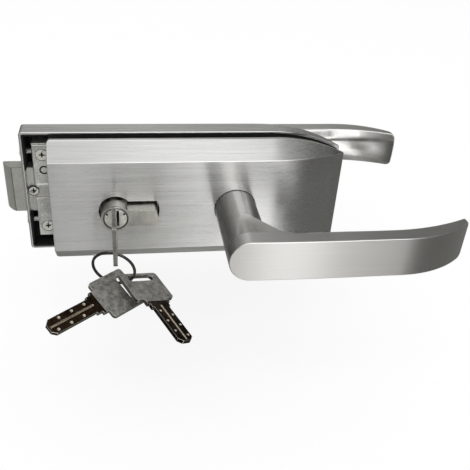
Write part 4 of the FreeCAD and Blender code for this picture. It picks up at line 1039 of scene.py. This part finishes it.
def make_lamp(stage):
    """The soft lamp above, which throws the object's shadow."""
    lamp = bpy.data.lights.new("soft lamp", "AREA")
    lamp.shape = "RECTANGLE"
    lamp.size, lamp.size_y = LAMP_SIZE
    lamp.energy = stage.lamp
    holder = bpy.data.objects.new("soft lamp", lamp)
    holder.location = LAMP_AT
    holder.rotation_euler = (-LAMP_AT).to_track_quat("-Z", "Y").to_euler()
    holder.visible_glossy = False
    bpy.context.scene.collection.objects.link(holder)


def tent_tone(tree):
    """The tent's colour at each spot, blended from zone to zone with the height."""
    where = add(tree, "ShaderNodeTexCoord")
    parts = add(tree, "ShaderNodeSeparateXYZ", feeds={"Vector": where.outputs["Object"]})
    front = add(tree, "ShaderNodeMath", {1: -1.0}, {0: parts.outputs["Y"]}, operation="MULTIPLY")
    angle = add(tree, "ShaderNodeMath", feeds={0: parts.outputs["X"], 1: front.outputs["Value"]},
                operation="ARCTAN2")
    spot = add(tree, "ShaderNodeMapRange", {"From Min": -math.pi, "From Max": math.pi},
               {"Value": angle.outputs["Value"]})
    tones = []
    for _, panels in TENT_ZONES:
        ramp = add(tree, "ShaderNodeValToRGB", feeds={"Fac": spot.outputs["Result"]})
        stops = ramp.color_ramp.elements
        for degrees, _ in panels[1:-1]:
            stops.new((degrees + 180) / 360)
        for stop, (_, value) in zip(stops, panels):
            share = value / TENT_TOP
            stop.color = (share, share * 0.995, share * (0.985 if value > 0.5 else 0.95), 1)
        tones.append(ramp.outputs["Color"])
    tone = tones[0]
    for upper, ((start, end), _) in zip(tones[1:], TENT_ZONES):
        lift = add(tree, "ShaderNodeMapRange", {"From Min": start, "From Max": end},
                   {"Value": parts.outputs["Z"]}, interpolation_type="SMOOTHSTEP")
        mix = add(tree, "ShaderNodeMix", feeds={0: lift.outputs["Result"], 6: tone, 7: upper},
                  data_type="RGBA")
        tone = mix.outputs[2]
    return tone


def make_tent(stage):
    """A round tent of light and dark cloth panels, which only the metal mirrors."""
    shape = bmesh.new()
    low, high = [[shape.verts.new((TENT_R * math.sin(t), -TENT_R * math.cos(t), height))
                  for t in turns(TENT_STEPS)] for height in (TENT_LOW, TENT_HIGH)]
    for i in range(TENT_STEPS):
        j = (i + 1) % TENT_STEPS
        shape.faces.new((low[i], low[j], high[j], high[i]))
    shape.faces.new(low)
    tent = new_object(shape, "light tent")
    for ray in ("camera", "diffuse", "shadow", "transmission", "volume_scatter"):
        setattr(tent, "visible_" + ray, False)
    # Cloth, lit from outside: even and soft, so the metal shows broad bands.
    material, tree, output = new_material("tent cloth")
    material.cycles.emission_sampling = "NONE"
    glow = add(tree, "ShaderNodeEmission", {"Strength": stage.tent * TENT_TOP}, {"Color": tent_tone(tree)})
    tree.links.new(glow.outputs["Emission"], output.inputs["Surface"])
    tent.data.materials.append(material)


class LOCK_OT_stage(Operator):
    """Makes the pale floor, the room's light, the soft lamp and the tent that the metal mirrors."""
    bl_idname = "lock.stage"
    bl_label = "Stage"

    def execute(self, context):
        colours, _, stage = settings(context)
        make_floor(colours)
        make_room(stage)
        make_lamp(stage)
        make_tent(stage)
        context.scene.view_settings.view_transform = "Standard"
        return {"FINISHED"}


class LOCK_OT_camera(Operator):
    """Sets the camera at the photograph's viewing angle."""
    bl_idname = "lock.camera"
    bl_label = "Camera"

    def execute(self, context):
        pitch, yaw, roll = [math.radians(angle) for angle in CAMERA_TURN]
        ahead = Vector((math.sin(yaw) * math.cos(pitch), math.cos(yaw) * math.cos(pitch), -math.sin(pitch)))
        right = Vector((math.cos(yaw), -math.sin(yaw), 0))
        down = ahead.cross(right)
        tilted_right = right * math.cos(roll) + down * math.sin(roll)
        tilted_down = down * math.cos(roll) - right * math.sin(roll)
        data = bpy.data.cameras.new("camera")
        data.sensor_width = 36
        data.lens = CAMERA_LENS
        data.clip_start = 0.01
        data.clip_end = 50
        camera = bpy.data.objects.new("camera", data)
        matrix = Matrix((tilted_right, -tilted_down, -ahead)).transposed().to_4x4()
        matrix.translation = CAMERA_AT
        camera.matrix_world = matrix
        context.scene.collection.objects.link(camera)
        context.scene.camera = camera
        return {"FINISHED"}


OPERATORS = (LOCK_OT_covers, LOCK_OT_linings, LOCK_OT_case, LOCK_OT_screws, LOCK_OT_latch, LOCK_OT_cylinder,
             LOCK_OT_keys, LOCK_OT_ring, LOCK_OT_springs, LOCK_OT_levers, LOCK_OT_stage, LOCK_OT_camera)


class LOCK_PT_panel(Panel):
    """Lists the lock's pieces and settings in the sidebar."""
    bl_idname = "LOCK_PT_panel"
    bl_label = "Glass door lock"
    bl_space_type = "VIEW_3D"
    bl_region_type = "UI"
    bl_category = "Door lock"

    def draw(self, context):
        layout = self.layout
        for group in settings(context):
            box = layout.box()
            for name in group.__annotations__:
                box.prop(group, name)
        for operator in OPERATORS:
            layout.operator(operator.bl_idname)


CLASSES = (LockColours, LockSizes, LockStage) + OPERATORS + (LOCK_PT_panel,)


def register():
    for kind in CLASSES:
        bpy.utils.register_class(kind)
    bpy.types.Scene.lock_colours = PointerProperty(type=LockColours)
    bpy.types.Scene.lock_sizes = PointerProperty(type=LockSizes)
    bpy.types.Scene.lock_stage = PointerProperty(type=LockStage)


def unregister():
    del bpy.types.Scene.lock_stage
    del bpy.types.Scene.lock_sizes
    del bpy.types.Scene.lock_colours
    for kind in reversed(CLASSES):
        bpy.utils.unregister_class(kind)


def main():
    register()
    bpy.ops.lock.camera()
    bpy.ops.lock.stage()
    bpy.ops.lock.covers()
    bpy.ops.lock.linings()
    bpy.ops.lock.case()
    bpy.ops.lock.screws()
    bpy.ops.lock.latch()
    bpy.ops.lock.cylinder()
    bpy.ops.lock.keys()
    bpy.ops.lock.ring()
    bpy.ops.lock.springs()
    bpy.ops.lock.levers()


if __name__ == "__main__":
    main()
